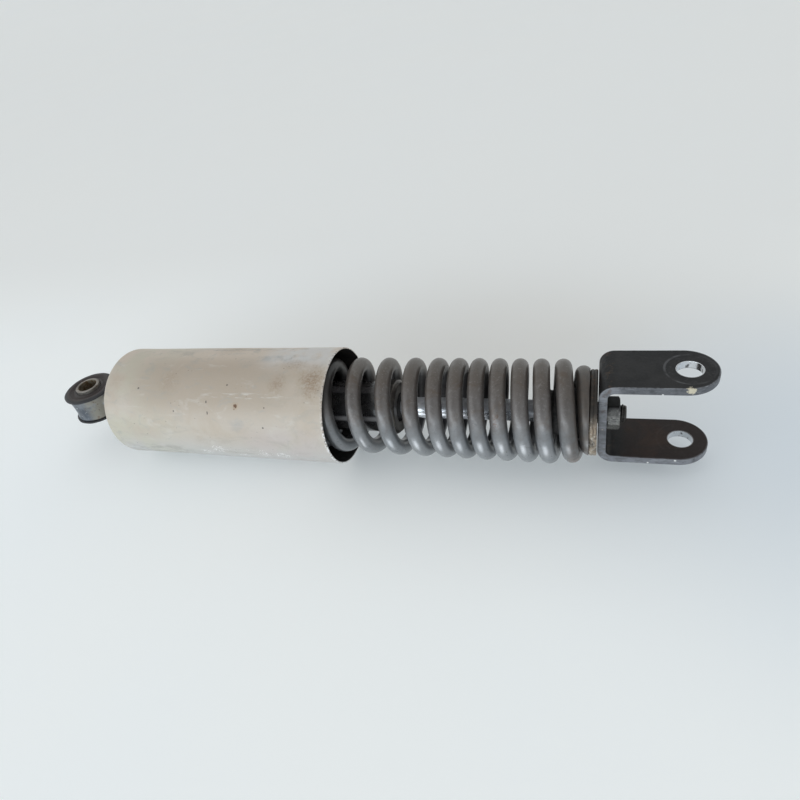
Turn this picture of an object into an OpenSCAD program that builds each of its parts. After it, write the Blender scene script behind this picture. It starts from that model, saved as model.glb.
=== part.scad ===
// Scooter rear shock absorber: a twin-tube damper with a progressive coil
// spring, a half-length tin cover over the eye end, and a sheet-steel clevis
// on the rod end. All lengths are in millimetres.
//
// Frame: the origin is the centre of the upper eye's bore. +X runs along the
// damper axis towards the clevis, +Z along both mounting bolts, and the lower
// clevis arm lies flat towards -Z. The clevis is set a little to +Y.

/* [Overall] */
// Distance between the centres of the two mounting bolts, along the damper
bolt_to_bolt = 312.6; // [306:0.1:320]
// Stroke of the rod from full extension to the bump stop
stroke = 65; // [50:1:65]

/* [Upper eye] */
// Outer diameter of the eye's steel ring
eye_d = 26.2; // [25:0.1:28]
// Width of the steel ring along the bolt
eye_w = 13.4; // [11:0.1:14]
// Diameter of the rubber lips on both faces of the ring
eye_lip_d = 28.2; // [27:0.1:29]
// Bore for the upper mounting bolt
eye_bore_d = 10.2; // [10.1:0.1:10.5]
// Outside diameter of the inner sleeve
eye_sleeve_d = 13.2; // [12.8:0.1:14]
// Length of the inner sleeve along the bolt
eye_sleeve_w = 19.4; // [18:0.1:22]

/* [Cover] */
// Outside diameter of the cover at its closed end
cover_d = 57; // [56:0.1:58]
// Outside diameter of the cover at its open rim
cover_rim_d = 58.1; // [57.5:0.1:60]
// Wall of the cover
cover_t = 0.9; // [0.7:0.1:1]
// Distance from the eye's centre to the closed end
cover_x = 31.7; // [31.7:0.1:32.5]
// Distance from the eye's centre to the open rim
cover_rim_x = 158.4; // [140:0.1:165]

/* [Spring] */
// Outside diameter of the coil spring
spring_d = 47; // [46:0.1:49]
// Diameter of the spring wire
wire_d = 7.4; // [7:0.1:7.8]
// Pitch of the widely wound coils near the eye
open_pitch = 14.7; // [12.5:0.1:15]
// Pitch of the closely wound coils near the clevis
tight_pitch = 9.4; // [9:0.1:10]
// Number of closely wound coils
tight_turns = 5.35; // [4:0.05:7]
// Number of coils over which the pitch opens out
ramp_turns = 2.9; // [2:0.1:4]
// Outside diameter of the drawn-in end coil on the lower seat
pigtail_d = 37.3; // [37:0.1:42]
// Direction of the wire's end on the lower seat, about the damper axis
wire_end_deg = 335.4; // [300:0.1:359]

/* [Damper] */
// Outside diameter of the damper tube
tube_d = 24.6; // [24:0.1:25.4]
// Outside diameter of the gland cap on the tube's end
gland_d = 26.4; // [26:0.1:27]
// Diameter of the chrome rod
rod_d = 10; // [9.8:0.1:10]
// Bore of the inner pressure tube
pressure_bore = 16; // [15.8:0.1:16]
// Outside diameter of the rubber bump stop
bump_d = 21.4; // [18:0.1:22]
// Length of the rubber bump stop
bump_l = 19; // [12:0.5:19]

/* [Lower seat and clevis] */
// Diameter of the lower spring seat
seat_d = 38; // [36:0.1:40]
// Thickness of the lower spring seat
seat_t = 3.3; // [3:0.1:3.6]
// Thickness of the clevis sheet
clevis_t = 3.5; // [3:0.1:4]
// Width of the clevis strip
clevis_w = 25.6; // [24:0.1:28]
// Height over the outside of the two clevis arms
clevis_h = 42.7; // [42:0.1:45]
// Sideways offset of the clevis from the damper axis
clevis_side = 2.8; // [0:0.1:3.5]
// Offset of the clevis from the damper axis, along the bolt
clevis_lift = 1; // [-1:0.1:2]
// Outside radius of the clevis bends
clevis_bend_r = 6.3; // [5.5:0.1:7]
// Hole for the lower mounting bolt
clevis_hole_d = 10.2; // [10.1:0.1:11]
// Distance from the clevis base to the hole's centre
clevis_reach = 34.6; // [33:0.1:38]
// How far the rounded arm ends are set back from the hole's centre
clevis_setback = 1.7; // [0:0.1:2]
// Width of the rod nut across its flats
nut_af = 13; // [12.8:0.1:13.2]
// Height of the rod nut
nut_h = 5.4; // [5:0.1:6]
// Thread diameter at both ends of the rod
thread_d = 8; // [7.8:0.1:8]

/* [Hidden] */
$fn = 96;

// Positions along the damper axis
base_x = bolt_to_bolt - clevis_reach;      // outer face of the clevis base
seat_x = base_x - 0.3 - seat_t;            // face that the spring stands on
cup_t = 1;                                 // sheet of the bump stop's cup
bump_x = seat_x - cup_t - bump_l;          // free end of the bump stop
tube_end_x = bump_x - stroke - 1.9;        // outer face of the gland cap
in_x = cover_x + cover_t;                  // inside of the cover's closed end
top_seat_t = 2.2;                          // upper spring seat's sheet
top_x = in_x + top_seat_t;                 // face of the upper seat
iso_t = 1.8;                               // spring isolator
spring_x = top_x + iso_t;                  // upper end plane of the spring
plug_x = top_x + 6.2;                      // inner face of the tube's end plug
guide_x = tube_end_x - 17.8;               // inner face of the rod guide
piston_x = guide_x - 28.5;                 // eye-side face of the piston
stud_x = base_x + clevis_t + nut_h + 2.7;  // free end of the rod's thread

tube_ro = tube_d / 2;
tube_ri = tube_ro - 1.5;
bore_r = pressure_bore / 2;
rod_r = rod_d / 2;
sleeve_r = eye_sleeve_d / 2;

// Spring, measured in turns from its lower tip
wire_r = wire_d / 2;
sides = 10;
steps = 20;
// Makes the ten-sided wire as heavy as the round one
wire_k = sqrt(2 * PI / (sides * sin(360 / sides)));
low_sink = 2.8;
top_sink = wire_r / 2;
low_closed = 1.3;
low_pitch = wire_d - 0.25;
low_step = 0.5;
step_pitch = tight_pitch + 1;
top_closed = 1;
top_ramp = 0.5;
top_pitch = wire_d + 0.3;
t0 = low_closed;
t1 = t0 + low_step;
t2 = t1 + tight_turns;
t3 = t2 + ramp_turns;
xt = seat_x + low_sink;
x0 = xt - low_closed * low_pitch;
x1 = x0 - low_step * step_pitch;
x2 = x1 - tight_turns * tight_pitch;
x3 = x2 - ramp_turns * (tight_pitch + open_pitch) / 2;
x5 = spring_x - top_sink + top_closed * top_pitch;
x4 = x5 + top_ramp * (open_pitch + top_pitch) / 2;
t4 = t3 + (x3 - x4) / open_pitch;
t5 = t4 + top_ramp;
t6 = t5 + top_closed;

// Distance covered in t turns while the pitch goes evenly from a to b over n
function swept(t, n, a, b) = a * t + (b - a) * t * t / (2 * n);
function coil_x(t) =
    t < t0 ? xt - low_pitch * t :
    t < t1 ? x0 - step_pitch * (t - t0) :
    t < t2 ? x1 - tight_pitch * (t - t1) :
    t < t3 ? x2 - swept(t - t2, ramp_turns, tight_pitch, open_pitch) :
    t < t4 ? x3 - open_pitch * (t - t3) :
    t < t5 ? x4 - swept(t - t4, top_ramp, open_pitch, top_pitch) :
    x5 - top_pitch * (t - t5);
function ease(u) = u < 0 ? 0 : u > 1 ? 1 : u * u * (3 - 2 * u);
function coil_r(t) =
    pigtail_d / 2 - wire_r + (spring_d - pigtail_d) / 2 * ease(t / t1);
function coil_a(t) = wire_end_deg - 360 * t;
// Sideways bow of the long spring between its two seats
function bow(t) = 0.4 * sin(180 * (seat_x - clip(coil_x(t), spring_x, seat_x)) / (seat_x - spring_x));
function coil_p(t) = [coil_x(t), coil_r(t) * cos(coil_a(t)) + bow(t) * cos(48),
    coil_r(t) * sin(coil_a(t)) + bow(t) * sin(48)];
function unit(v) = v / norm(v);
function clip(v, lo, hi) = v < lo ? lo : v > hi ? hi : v;
// Ring i of the wire; its ends are ground flat on the two seats
function ring(i, n) =
    let (t = t6 * i / n,
        c = coil_p(t),
        er = [0, cos(coil_a(t)), sin(coil_a(t))],
        tan = unit(coil_p(t + 0.001) - coil_p(t - 0.001)),
        er2 = unit(er - tan * (er * tan)),
        b = cross(tan, er2))
    [for (j = [0:sides - 1])
        let (a = 360 * (j + 0.5) / sides,
            p = c + wire_r * wire_k * (cos(a) * er2 + sin(a) * b))
        [clip(p[0], spring_x, seat_x), p[1], p[2]]];

// Solid of revolution about the damper axis, from [radius, x] points
module turned(pts) rotate([0, 90, 0]) rotate_extrude() polygon(pts);
// Solid of revolution about the bolt axis, from [radius, z] points
module turned_z(pts) rotate_extrude() polygon(pts);
// Straight round bar along the damper axis
module bar(x, l, r) translate([x, 0, 0]) rotate([0, 90, 0]) cylinder(h = l, r = r);
// Plain ring along the damper axis
module tube(x, l, ro, ri) difference() {
    bar(x, l, ro);
    bar(x - 1, l + 2, ri);
}

// Steel ring with its neck, shoulder and the spigot that holds cover and tube
module upper_eye() color("slategray") {
    ro = eye_d / 2;
    w = eye_w / 2;
    difference() {
        union() {
            // Ring, slightly waisted between its two edges
            turned_z([[0, -w], [ro - 0.3, -w], [ro, -w + 0.4], [ro - 0.6, -w + 2.6],
                [ro - 0.8, 0], [ro - 0.6, w - 2.6], [ro, w - 0.4], [ro - 0.3, w], [0, w]]);
            // Neck no wider than the ring where they join, shoulder against the cover
            turned([[0, 8], [w - 0.1, 8], [w - 0.1, ro + 1.2], [8.2, ro + 4.4], [8.4, cover_x - 4],
                [9.4, cover_x - 2.6], [11.5, cover_x - 2.2], [12, cover_x - 1.7], [12, cover_x],
                [7.9, cover_x], [7.9, plug_x - 1.5], [7.4, plug_x - 1], [0, plug_x - 1]]);
        }
        // Seat for the rubber bush
        cylinder(h = 60, r = ro - 3.1, center = true);
    }
}

// Rubber bush with a lip over each face of the ring and a groove round the sleeve
module eye_rubber_bush() color("#262324") {
    w = eye_w / 2;
    ro = eye_d / 2 - 3.1;
    lr = eye_lip_d / 2;
    turned_z([[sleeve_r + 0.05, -w - 1.3], [sleeve_r + 1.6, -w - 1.3], [sleeve_r + 2.2, -w - 0.6],
        [sleeve_r + 3.6, -w - 0.6], [sleeve_r + 4.4, -w - 1.5], [lr - 0.9, -w - 1.5], [lr, -w - 0.9],
        [lr, -w - 0.3], [lr - 0.3, -w], [ro, -w], [ro, w], [lr - 0.3, w],
        [lr, w + 0.3], [lr, w + 0.9], [lr - 0.9, w + 1.5], [sleeve_r + 4.4, w + 1.5],
        [sleeve_r + 3.6, w + 0.6], [sleeve_r + 2.2, w + 0.6], [sleeve_r + 1.6, w + 1.3],
        [sleeve_r + 0.05, w + 1.3]]);
}

// Steel sleeve that the upper bolt clamps
module eye_inner_sleeve() color("silver") {
    h = eye_sleeve_w / 2;
    br = eye_bore_d / 2;
    turned_z([[br, -h], [sleeve_r - 0.3, -h], [sleeve_r, -h + 0.3], [sleeve_r, h - 0.3],
        [sleeve_r - 0.3, h], [br, h]]);
}

// Half-length tin cover, slightly wider at its rim
module spring_cover() color("#c9c6bb") {
    r0 = cover_d / 2;
    r1 = cover_rim_d / 2;
    t = cover_t;
    difference() {
        turned([[0, cover_x], [r0 - 5.2, cover_x], [r0 - 2.4, cover_x + 0.5],
            [r0 - 0.7, cover_x + 1.6], [r0, cover_x + 3.4],
            [r1 - 0.1, cover_rim_x - 0.4], [r1 - 0.35, cover_rim_x], [0, cover_rim_x]]);
        turned([[0, cover_x + t], [r0 - 5.3, cover_x + t], [r0 - 2.9, cover_x + t + 0.4],
            [r0 - 1.5, cover_x + t + 1.3], [r0 - t, cover_x + 3.6 + t / 2],
            [r1 - t, cover_rim_x], [r1 - t, cover_rim_x + 1], [0, cover_rim_x + 1]]);
        bar(cover_x - 1, 4, 8);
    }
}

// Pressed seat inside the cover's closed end, with a collar that centres the coil
module upper_spring_seat() color("dimgray") difference() {
    turned([[0, in_x], [cover_d / 2 - 6.4, in_x], [cover_d / 2 - 4.6, in_x + 1],
        [cover_d / 2 - 4.6, top_x], [15.6, top_x], [15.2, top_x + 5.5], [14, top_x + 5.5],
        [13.6, top_x], [0, top_x]]);
    bar(in_x - 1, 12, 8);
}

// Nylon ring between the upper seat and the first coil
module spring_isolator() color("ivory") tube(top_x, iso_t, 23.4, 15.8);

// Plug welded into the eye end of the damper tube
module tube_end_plug() color("#3a3a3c") difference() {
    turned([[0, top_x], [tube_ri - 0.6, top_x], [tube_ri, top_x + 0.6], [tube_ri, plug_x], [0, plug_x]]);
    bar(top_x - 1, plug_x - top_x, 8);
}

// Outer tube of the damper, the oil reservoir
module damper_tube() color("#1d1d1f")
    tube(top_x, tube_end_x - 3.5 - top_x, tube_ro, tube_ri);

// Inner tube that the piston works in
module pressure_tube() color("gainsboro")
    tube(plug_x + 3, guide_x + 2 - plug_x - 3, bore_r + 1.1, bore_r);

// Foot valve body with its six oil passages
module foot_valve() color("darkgray") difference() {
    union() {
        bar(plug_x, 3, bore_r + 1.1);
        bar(plug_x + 3, 5, bore_r);
    }
    for (a = [0:60:300]) rotate([a, 0, 0]) translate([0, 5.4, 0]) bar(plug_x - 1, 10, 0.9);
    bar(plug_x - 1, 10, 1.6);
    for (a = [0:90:270]) rotate([a, 0, 0]) translate([plug_x + 0.7, bore_r - 1, -1.1])
        cube([1.3, 4, 2.2]);
}

// Small bolt that carries the foot valve's disc
module foot_valve_bolt() color("goldenrod") union() {
    bar(plug_x + 0.2, 7.8, 1.6);
    bar(plug_x + 8, 0.4, 6.6);
    bar(plug_x + 8.4, 1.8, 2.8, $fn = 6);
}

// Rod guide that closes both tubes
module rod_guide() color("lightgray") difference() {
    turned([[0, guide_x], [bore_r - 0.8, guide_x], [bore_r, guide_x + 0.6], [bore_r, guide_x + 2],
        [bore_r + 1.1, guide_x + 2], [tube_ri, guide_x + 3.2], [tube_ri, guide_x + 5],
        [tube_ri - 1.2, guide_x + 5], [tube_ri - 1.2, guide_x + 6.8], [tube_ri, guide_x + 6.8],
        [tube_ri, guide_x + 8.4], [0, guide_x + 8.4]]);
    bar(guide_x - 1, 12, rod_r + 0.9);
}

// Plain bearing pressed into the rod guide
module guide_bush() color("#b87333") tube(guide_x, 8.4, rod_r + 0.9, rod_r + 0.04);

// Seal ring in the rod guide's groove
module guide_o_ring() color("#222222") rotate([0, 90, 0])
    translate([0, 0, guide_x + 5.9]) rotate_extrude() translate([tube_ri - 0.62, 0]) circle(r = 0.58);

// Oil seal with its two lips
module oil_seal() color("#2b2b2b") turned([[rod_r + 0.05, guide_x + 8.9],
    [rod_r + 0.6, guide_x + 8.6], [rod_r + 1.4, guide_x + 8.4], [tube_ri, guide_x + 8.4],
    [tube_ri, guide_x + 12.4], [rod_r + 1.6, guide_x + 12.4], [rod_r + 1.6, guide_x + 10],
    [rod_r + 0.05, guide_x + 9.7]]);

// Turned cap over the end of the damper tube
module gland_cap() color("#303032") difference() {
    turned([[0, tube_end_x - 8.5], [gland_d / 2 - 0.5, tube_end_x - 8.5],
        [gland_d / 2, tube_end_x - 8], [gland_d / 2, tube_end_x - 1.6],
        [gland_d / 2 - 1.4, tube_end_x], [0, tube_end_x]]);
    bar(tube_end_x - 10, 10 - 3.5, tube_ro);
    bar(tube_end_x - 5, 5 - 1.2, 9.2);
    bar(tube_end_x - 2, 4, 7);
}

// Rubber wiper that keeps dirt off the rod
module dust_wiper() color("#1a1a1a") turned([[rod_r + 0.05, tube_end_x + 0.9],
    [rod_r + 0.5, tube_end_x + 0.6], [rod_r + 1.1, tube_end_x - 0.6], [rod_r + 1.9, tube_end_x - 1.2],
    [9.2, tube_end_x - 1.2], [9.2, tube_end_x - 3.4], [rod_r + 1.2, tube_end_x - 3.4],
    [rod_r + 0.6, tube_end_x - 2], [rod_r + 0.05, tube_end_x + 0.2]]);

// Right-handed coil spring with a progressive pitch and ground ends
module coil_spring() color("#7d7c78") {
    n = ceil(t6 * steps);
    pts = [for (i = [0:n]) each ring(i, n)];
    faces = concat(
        [for (i = [0:n - 1]) for (j = [0:sides - 1])
            let (k = (j + 1) % sides, a = i * sides, b = a + sides)
            each [[a + j, b + j, b + k], [a + j, b + k, a + k]]],
        [[for (j = [0:sides - 1]) j]],
        [[for (j = [sides - 1:-1:0]) n * sides + j]]);
    polyhedron(points = pts, faces = faces, convexity = 20);
}

// Turned disc that carries the spring on the clevis
module lower_spring_seat() color("#4a4038") difference() {
    turned([[0, seat_x], [seat_d / 2 - 0.4, seat_x], [seat_d / 2, seat_x + 0.4],
        [seat_d / 2, seat_x + seat_t - 0.4], [seat_d / 2 - 0.4, seat_x + seat_t],
        [0, seat_x + seat_t]]);
    bar(seat_x - 1, 8, rod_r + 0.06);
}

// Shallow pressed cup under the bump stop
module bump_stop_cup() color("#55504a") difference() {
    turned([[0, seat_x - cup_t], [9.2, seat_x - cup_t], [10.3, seat_x - cup_t - 1.4],
        [11.1, seat_x - cup_t - 1.4], [10.4, seat_x - 0.3], [9.8, seat_x], [0, seat_x]]);
    bar(seat_x - 5, 10, rod_r + 0.07);
}

// Rubber bump stop with two waists
module bump_stop() color("#161616") {
    r = bump_d / 2;
    e = seat_x - cup_t;
    l = bump_l;
    turned([[rod_r + 0.08, e], [9, e], [9.2, e - 1.6], [r, e - 2.6], [r, e - 0.36 * l],
        [r - 1, e - 0.42 * l], [r - 1, e - 0.46 * l], [r - 0.2, e - 0.52 * l], [r - 0.2, e - 0.72 * l],
        [r - 1.2, e - 0.78 * l], [r - 1.2, e - 0.82 * l], [r, e - 0.88 * l],
        [r, e - l + 1], [r - 1, e - l], [rod_r + 0.08, e - l]]);
}

// Chrome rod, turned down to a thread for the piston and for the clevis
module piston_rod() color("#d8dadd") {
    r = thread_d / 2;
    turned([[0, piston_x - 7.4], [r - 0.7, piston_x - 7.4], [r, piston_x - 6.7],
        [r, piston_x + 13], [rod_r - 0.4, piston_x + 13], [rod_r, piston_x + 13.4],
        [rod_r, base_x - 0.4], [rod_r - 0.4, base_x], [r, base_x], [r, stud_x - 0.8],
        [r - 0.8, stud_x], [0, stud_x]]);
}

// Piston with eight oil passages and a groove for its ring
module piston() color("#8f8f8a") difference() {
    turned([[0, piston_x], [bore_r - 0.8, piston_x], [bore_r - 0.3, piston_x + 0.5],
        [bore_r - 0.3, piston_x + 3], [bore_r - 1.3, piston_x + 3], [bore_r - 1.3, piston_x + 9],
        [bore_r - 0.3, piston_x + 9], [bore_r - 0.3, piston_x + 11.5],
        [bore_r - 0.8, piston_x + 12], [0, piston_x + 12]]);
    bar(piston_x - 1, 14, thread_d / 2);
    for (a = [0:45:315]) rotate([a, 0, 0]) translate([0, 5.3, 0]) bar(piston_x - 1, 14, 0.7);
}

// Sliding band round the piston
module piston_ring() color("#8a5a2b") tube(piston_x + 3.1, 5.8, bore_r - 0.05, bore_r - 1.3);

// Stack of thin discs on the compression side
module compression_shims() color("lightsteelblue") {
    tube(piston_x + 12, 0.3, 6.8, thread_d / 2);
    tube(piston_x + 12.3, 0.3, 6, thread_d / 2);
    tube(piston_x + 12.6, 0.4, 5.4, thread_d / 2);
}

// Stack of thin discs on the rebound side
module rebound_shims() color("lightsteelblue") {
    tube(piston_x - 0.3, 0.3, 6.8, thread_d / 2);
    tube(piston_x - 0.6, 0.3, 6, thread_d / 2);
    tube(piston_x - 1, 0.4, 5.4, thread_d / 2);
}

// Nut that holds the piston on the rod
module piston_nut() color("silver") difference() {
    bar(piston_x - 6, 5, 7, $fn = 6);
    bar(piston_x - 7, 7, thread_d / 2);
}

// Steel collar swaged on the rod
module rebound_stop_collar() color("gray") tube(guide_x - 13.3, 3, 7, rod_r);

// Rubber ring that cushions full extension
module rebound_stop() color("#1c1c1c") {
    a = guide_x - 10.3;
    turned([[rod_r, a], [6.8, a], [7.3, a + 1], [6.6, a + 5], [7.3, a + 9], [6.8, a + 10], [rod_r, a + 10]]);
}

// Side outline of a plate bent to a U, from [x, z], with bend radius r
module u_side(x, h, l, r) {
    translate([x + r, -h / 2]) square([l - r, h]);
    translate([x, -h / 2 + r]) square([l, h - 2 * r]);
    for (s = [-1, 1]) translate([x + r, s * (h / 2 - r)]) circle(r = r);
}

// Clevis bent from a steel strip, with rounded arm ends. Its rod hole is off
// the middle of the base.
module clevis() color("#29292b") difference() {
    translate([0, clevis_side, clevis_lift]) {
        l = clevis_reach + 30;
        difference() {
            intersection() {
                rotate([90, 0, 0]) translate([0, 0, -clevis_w / 2]) linear_extrude(height = clevis_w)
                    difference() {
                        u_side(base_x, clevis_h, l, clevis_bend_r);
                        u_side(base_x + clevis_t, clevis_h - 2 * clevis_t, l, clevis_bend_r - clevis_t);
                    }
                translate([0, 0, -30]) linear_extrude(height = 60) union() {
                    translate([base_x - 1, -clevis_w / 2])
                        square([clevis_reach - clevis_setback + 1, clevis_w]);
                    translate([bolt_to_bolt - clevis_setback, 0]) circle(r = clevis_w / 2);
                }
            }
            translate([bolt_to_bolt, 0, 0]) cylinder(h = 80, r = clevis_hole_d / 2, center = true);
        }
    }
    bar(base_x - 1, 8, thread_d / 2);
}

// Hexagon nut that clamps the clevis against the rod's shoulder
module clevis_nut() color("#8b8a84") difference() {
    intersection() {
        bar(base_x + clevis_t, nut_h, nut_af / 2 / cos(30), $fn = 6);
        turned([[0, base_x + clevis_t], [nut_af / 2 - 0.1, base_x + clevis_t],
            [nut_af / 2 / cos(30), base_x + clevis_t + 0.6],
            [nut_af / 2 / cos(30), base_x + clevis_t + nut_h - 0.6],
            [nut_af / 2 - 0.1, base_x + clevis_t + nut_h], [0, base_x + clevis_t + nut_h]]);
    }
    bar(base_x, 20, thread_d / 2);
}

upper_eye();
eye_rubber_bush();
eye_inner_sleeve();
spring_cover();
upper_spring_seat();
spring_isolator();
tube_end_plug();
damper_tube();
pressure_tube();
foot_valve();
foot_valve_bolt();
rod_guide();
guide_bush();
guide_o_ring();
oil_seal();
gland_cap();
dust_wiper();
coil_spring();
lower_spring_seat();
bump_stop_cup();
bump_stop();
piston_rod();
piston();
piston_ring();
compression_shims();
rebound_shims();
piston_nut();
rebound_stop_collar();
rebound_stop();
clevis();
clevis_nut();
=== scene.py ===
import math

import bmesh
import bpy
from mathutils import Matrix, Vector, noise


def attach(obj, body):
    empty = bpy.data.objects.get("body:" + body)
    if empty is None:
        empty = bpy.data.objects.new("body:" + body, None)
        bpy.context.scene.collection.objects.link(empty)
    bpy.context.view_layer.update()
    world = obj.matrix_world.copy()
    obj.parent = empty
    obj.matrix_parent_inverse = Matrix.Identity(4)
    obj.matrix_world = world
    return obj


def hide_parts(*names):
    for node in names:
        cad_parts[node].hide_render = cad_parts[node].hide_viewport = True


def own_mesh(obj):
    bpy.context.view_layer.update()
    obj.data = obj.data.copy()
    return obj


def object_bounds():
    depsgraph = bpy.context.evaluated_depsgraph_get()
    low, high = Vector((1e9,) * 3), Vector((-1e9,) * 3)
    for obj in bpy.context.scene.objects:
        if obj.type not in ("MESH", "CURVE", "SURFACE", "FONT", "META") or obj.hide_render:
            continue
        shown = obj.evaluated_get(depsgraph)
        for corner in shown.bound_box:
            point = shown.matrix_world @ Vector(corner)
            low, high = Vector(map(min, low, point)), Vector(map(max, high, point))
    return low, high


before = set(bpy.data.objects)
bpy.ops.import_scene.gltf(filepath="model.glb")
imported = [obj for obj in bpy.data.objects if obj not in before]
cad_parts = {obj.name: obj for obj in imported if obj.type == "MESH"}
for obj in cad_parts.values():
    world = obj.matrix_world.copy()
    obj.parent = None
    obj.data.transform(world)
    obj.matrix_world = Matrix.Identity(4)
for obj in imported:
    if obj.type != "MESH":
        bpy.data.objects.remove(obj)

CAD_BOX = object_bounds()
MM = 0.001
scene = bpy.context.scene


# ---------------------------------------------------------------- helpers

def mesh_object(name, verts, faces, materials, face_mats=None, sharp=38.0, weld=0.0):
    """A smooth-shaded mesh object from points in millimetres."""
    bm = bmesh.new()
    vs = [bm.verts.new((x * MM, y * MM, z * MM)) for x, y, z in verts]
    for i, f in enumerate(faces):
        try:
            face = bm.faces.new([vs[k] for k in f])
        except ValueError:
            continue
        face.material_index = face_mats[i] if face_mats else 0
        face.smooth = True
    if weld:
        bmesh.ops.remove_doubles(bm, verts=bm.verts, dist=weld * MM)
    loose = [v for v in bm.verts if not v.link_faces]
    if loose:
        bmesh.ops.delete(bm, geom=loose, context="VERTS")
    bmesh.ops.recalc_face_normals(bm, faces=bm.faces)
    me = bpy.data.meshes.new(name)
    bm.to_mesh(me)
    bm.free()
    me.set_sharp_from_angle(angle=math.radians(sharp))
    ob = bpy.data.objects.new(name, me)
    scene.collection.objects.link(ob)
    for m in materials:
        me.materials.append(m)
    return ob


def weighted(ob, strength=70):
    w = ob.modifiers.new("weighted", "WEIGHTED_NORMAL")
    w.mode = "FACE_AREA_WITH_ANGLE"
    w.weight = strength
    w.keep_sharp = True


def settle(ob):
    """Applies an object's modifiers to its mesh."""
    dg = bpy.context.evaluated_depsgraph_get()
    new = bpy.data.meshes.new_from_object(ob.evaluated_get(dg))
    old = ob.data
    ob.modifiers.clear()
    ob.data = new
    bpy.data.meshes.remove(old)
    new.name = ob.name


def filleted(pts, default=0.3, seg=4, longest=None):
    """Closed outline of (a, b) or (a, b, radius) points with its corners rounded."""
    p = [Vector((q[0], q[1])) for q in pts]
    rad = [q[2] if len(q) > 2 else default for q in pts]
    out = []
    n = len(p)
    for i in range(n):
        c, a, b = p[i], p[i - 1], p[(i + 1) % n]
        u, v = a - c, b - c
        lu, lv = u.length, v.length
        if lu < 1e-6 or lv < 1e-6:
            continue
        u, v = u / lu, v / lv
        ang = math.acos(max(-1, min(1, u.dot(v))))
        if rad[i] <= 0 or ang > math.pi - 0.03 or ang < 0.02:
            out.append(c)
            continue
        d = min(rad[i] / math.tan(ang / 2), 0.48 * lu, 0.48 * lv)
        r = d * math.tan(ang / 2)
        centre = c + (u + v).normalized() * (r / math.sin(ang / 2))
        s, e = c + u * d - centre, c + v * d - centre
        a0, a1 = math.atan2(s.y, s.x), math.atan2(e.y, e.x)
        da = (a1 - a0 + math.pi) % (2 * math.pi) - math.pi
        k = max(1, seg if ang < 2.6 else 2)
        for j in range(k + 1):
            t = a0 + da * j / k
            out.append(centre + r * Vector((math.cos(t), math.sin(t))))
    if longest:
        dense = []
        for i, q in enumerate(out):
            nxt = out[(i + 1) % len(out)]
            steps = max(1, int(math.ceil((nxt - q).length / longest)))
            for k in range(steps):
                dense.append(q + (nxt - q) * (k / steps))
        out = dense
    return [(q.x, q.y) for q in out]


def turned(name, pts, materials, axis="X", n=96, default=0.3, seg=4, longest=None,
           push=None, mat_of=None, sharp=38.0):
    """Solid of revolution of a closed outline of [radius, along] points."""
    line = filleted(pts, default, seg, longest)
    verts, faces, mats = [], [], []
    m = len(line)
    for i in range(n):
        a = 2 * math.pi * i / n
        for r, t in line:
            if push:
                r, t = push(r, t, a)
            if axis == "X":
                verts.append((t, r * math.cos(a), r * math.sin(a)))
            else:
                verts.append((r * math.cos(a), r * math.sin(a), t))
    for i in range(n):
        for j in range(m):
            a, b = i * m, ((i + 1) % n) * m
            k = (j + 1) % m
            faces.append((a + j, b + j, b + k, a + k))
            mats.append(mat_of(line[j], line[k]) if mat_of else 0)
    ob = mesh_object(name, verts, faces, materials, mats, sharp, weld=0.002)
    weighted(ob)
    return ob


def place(ob, body, node):
    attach(ob, body)
    if node:
        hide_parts(node)
    return ob


def ease(u):
    u = max(0.0, min(1.0, u))
    return u * u * (3 - 2 * u)


# ---------------------------------------------------------------- materials

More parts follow.
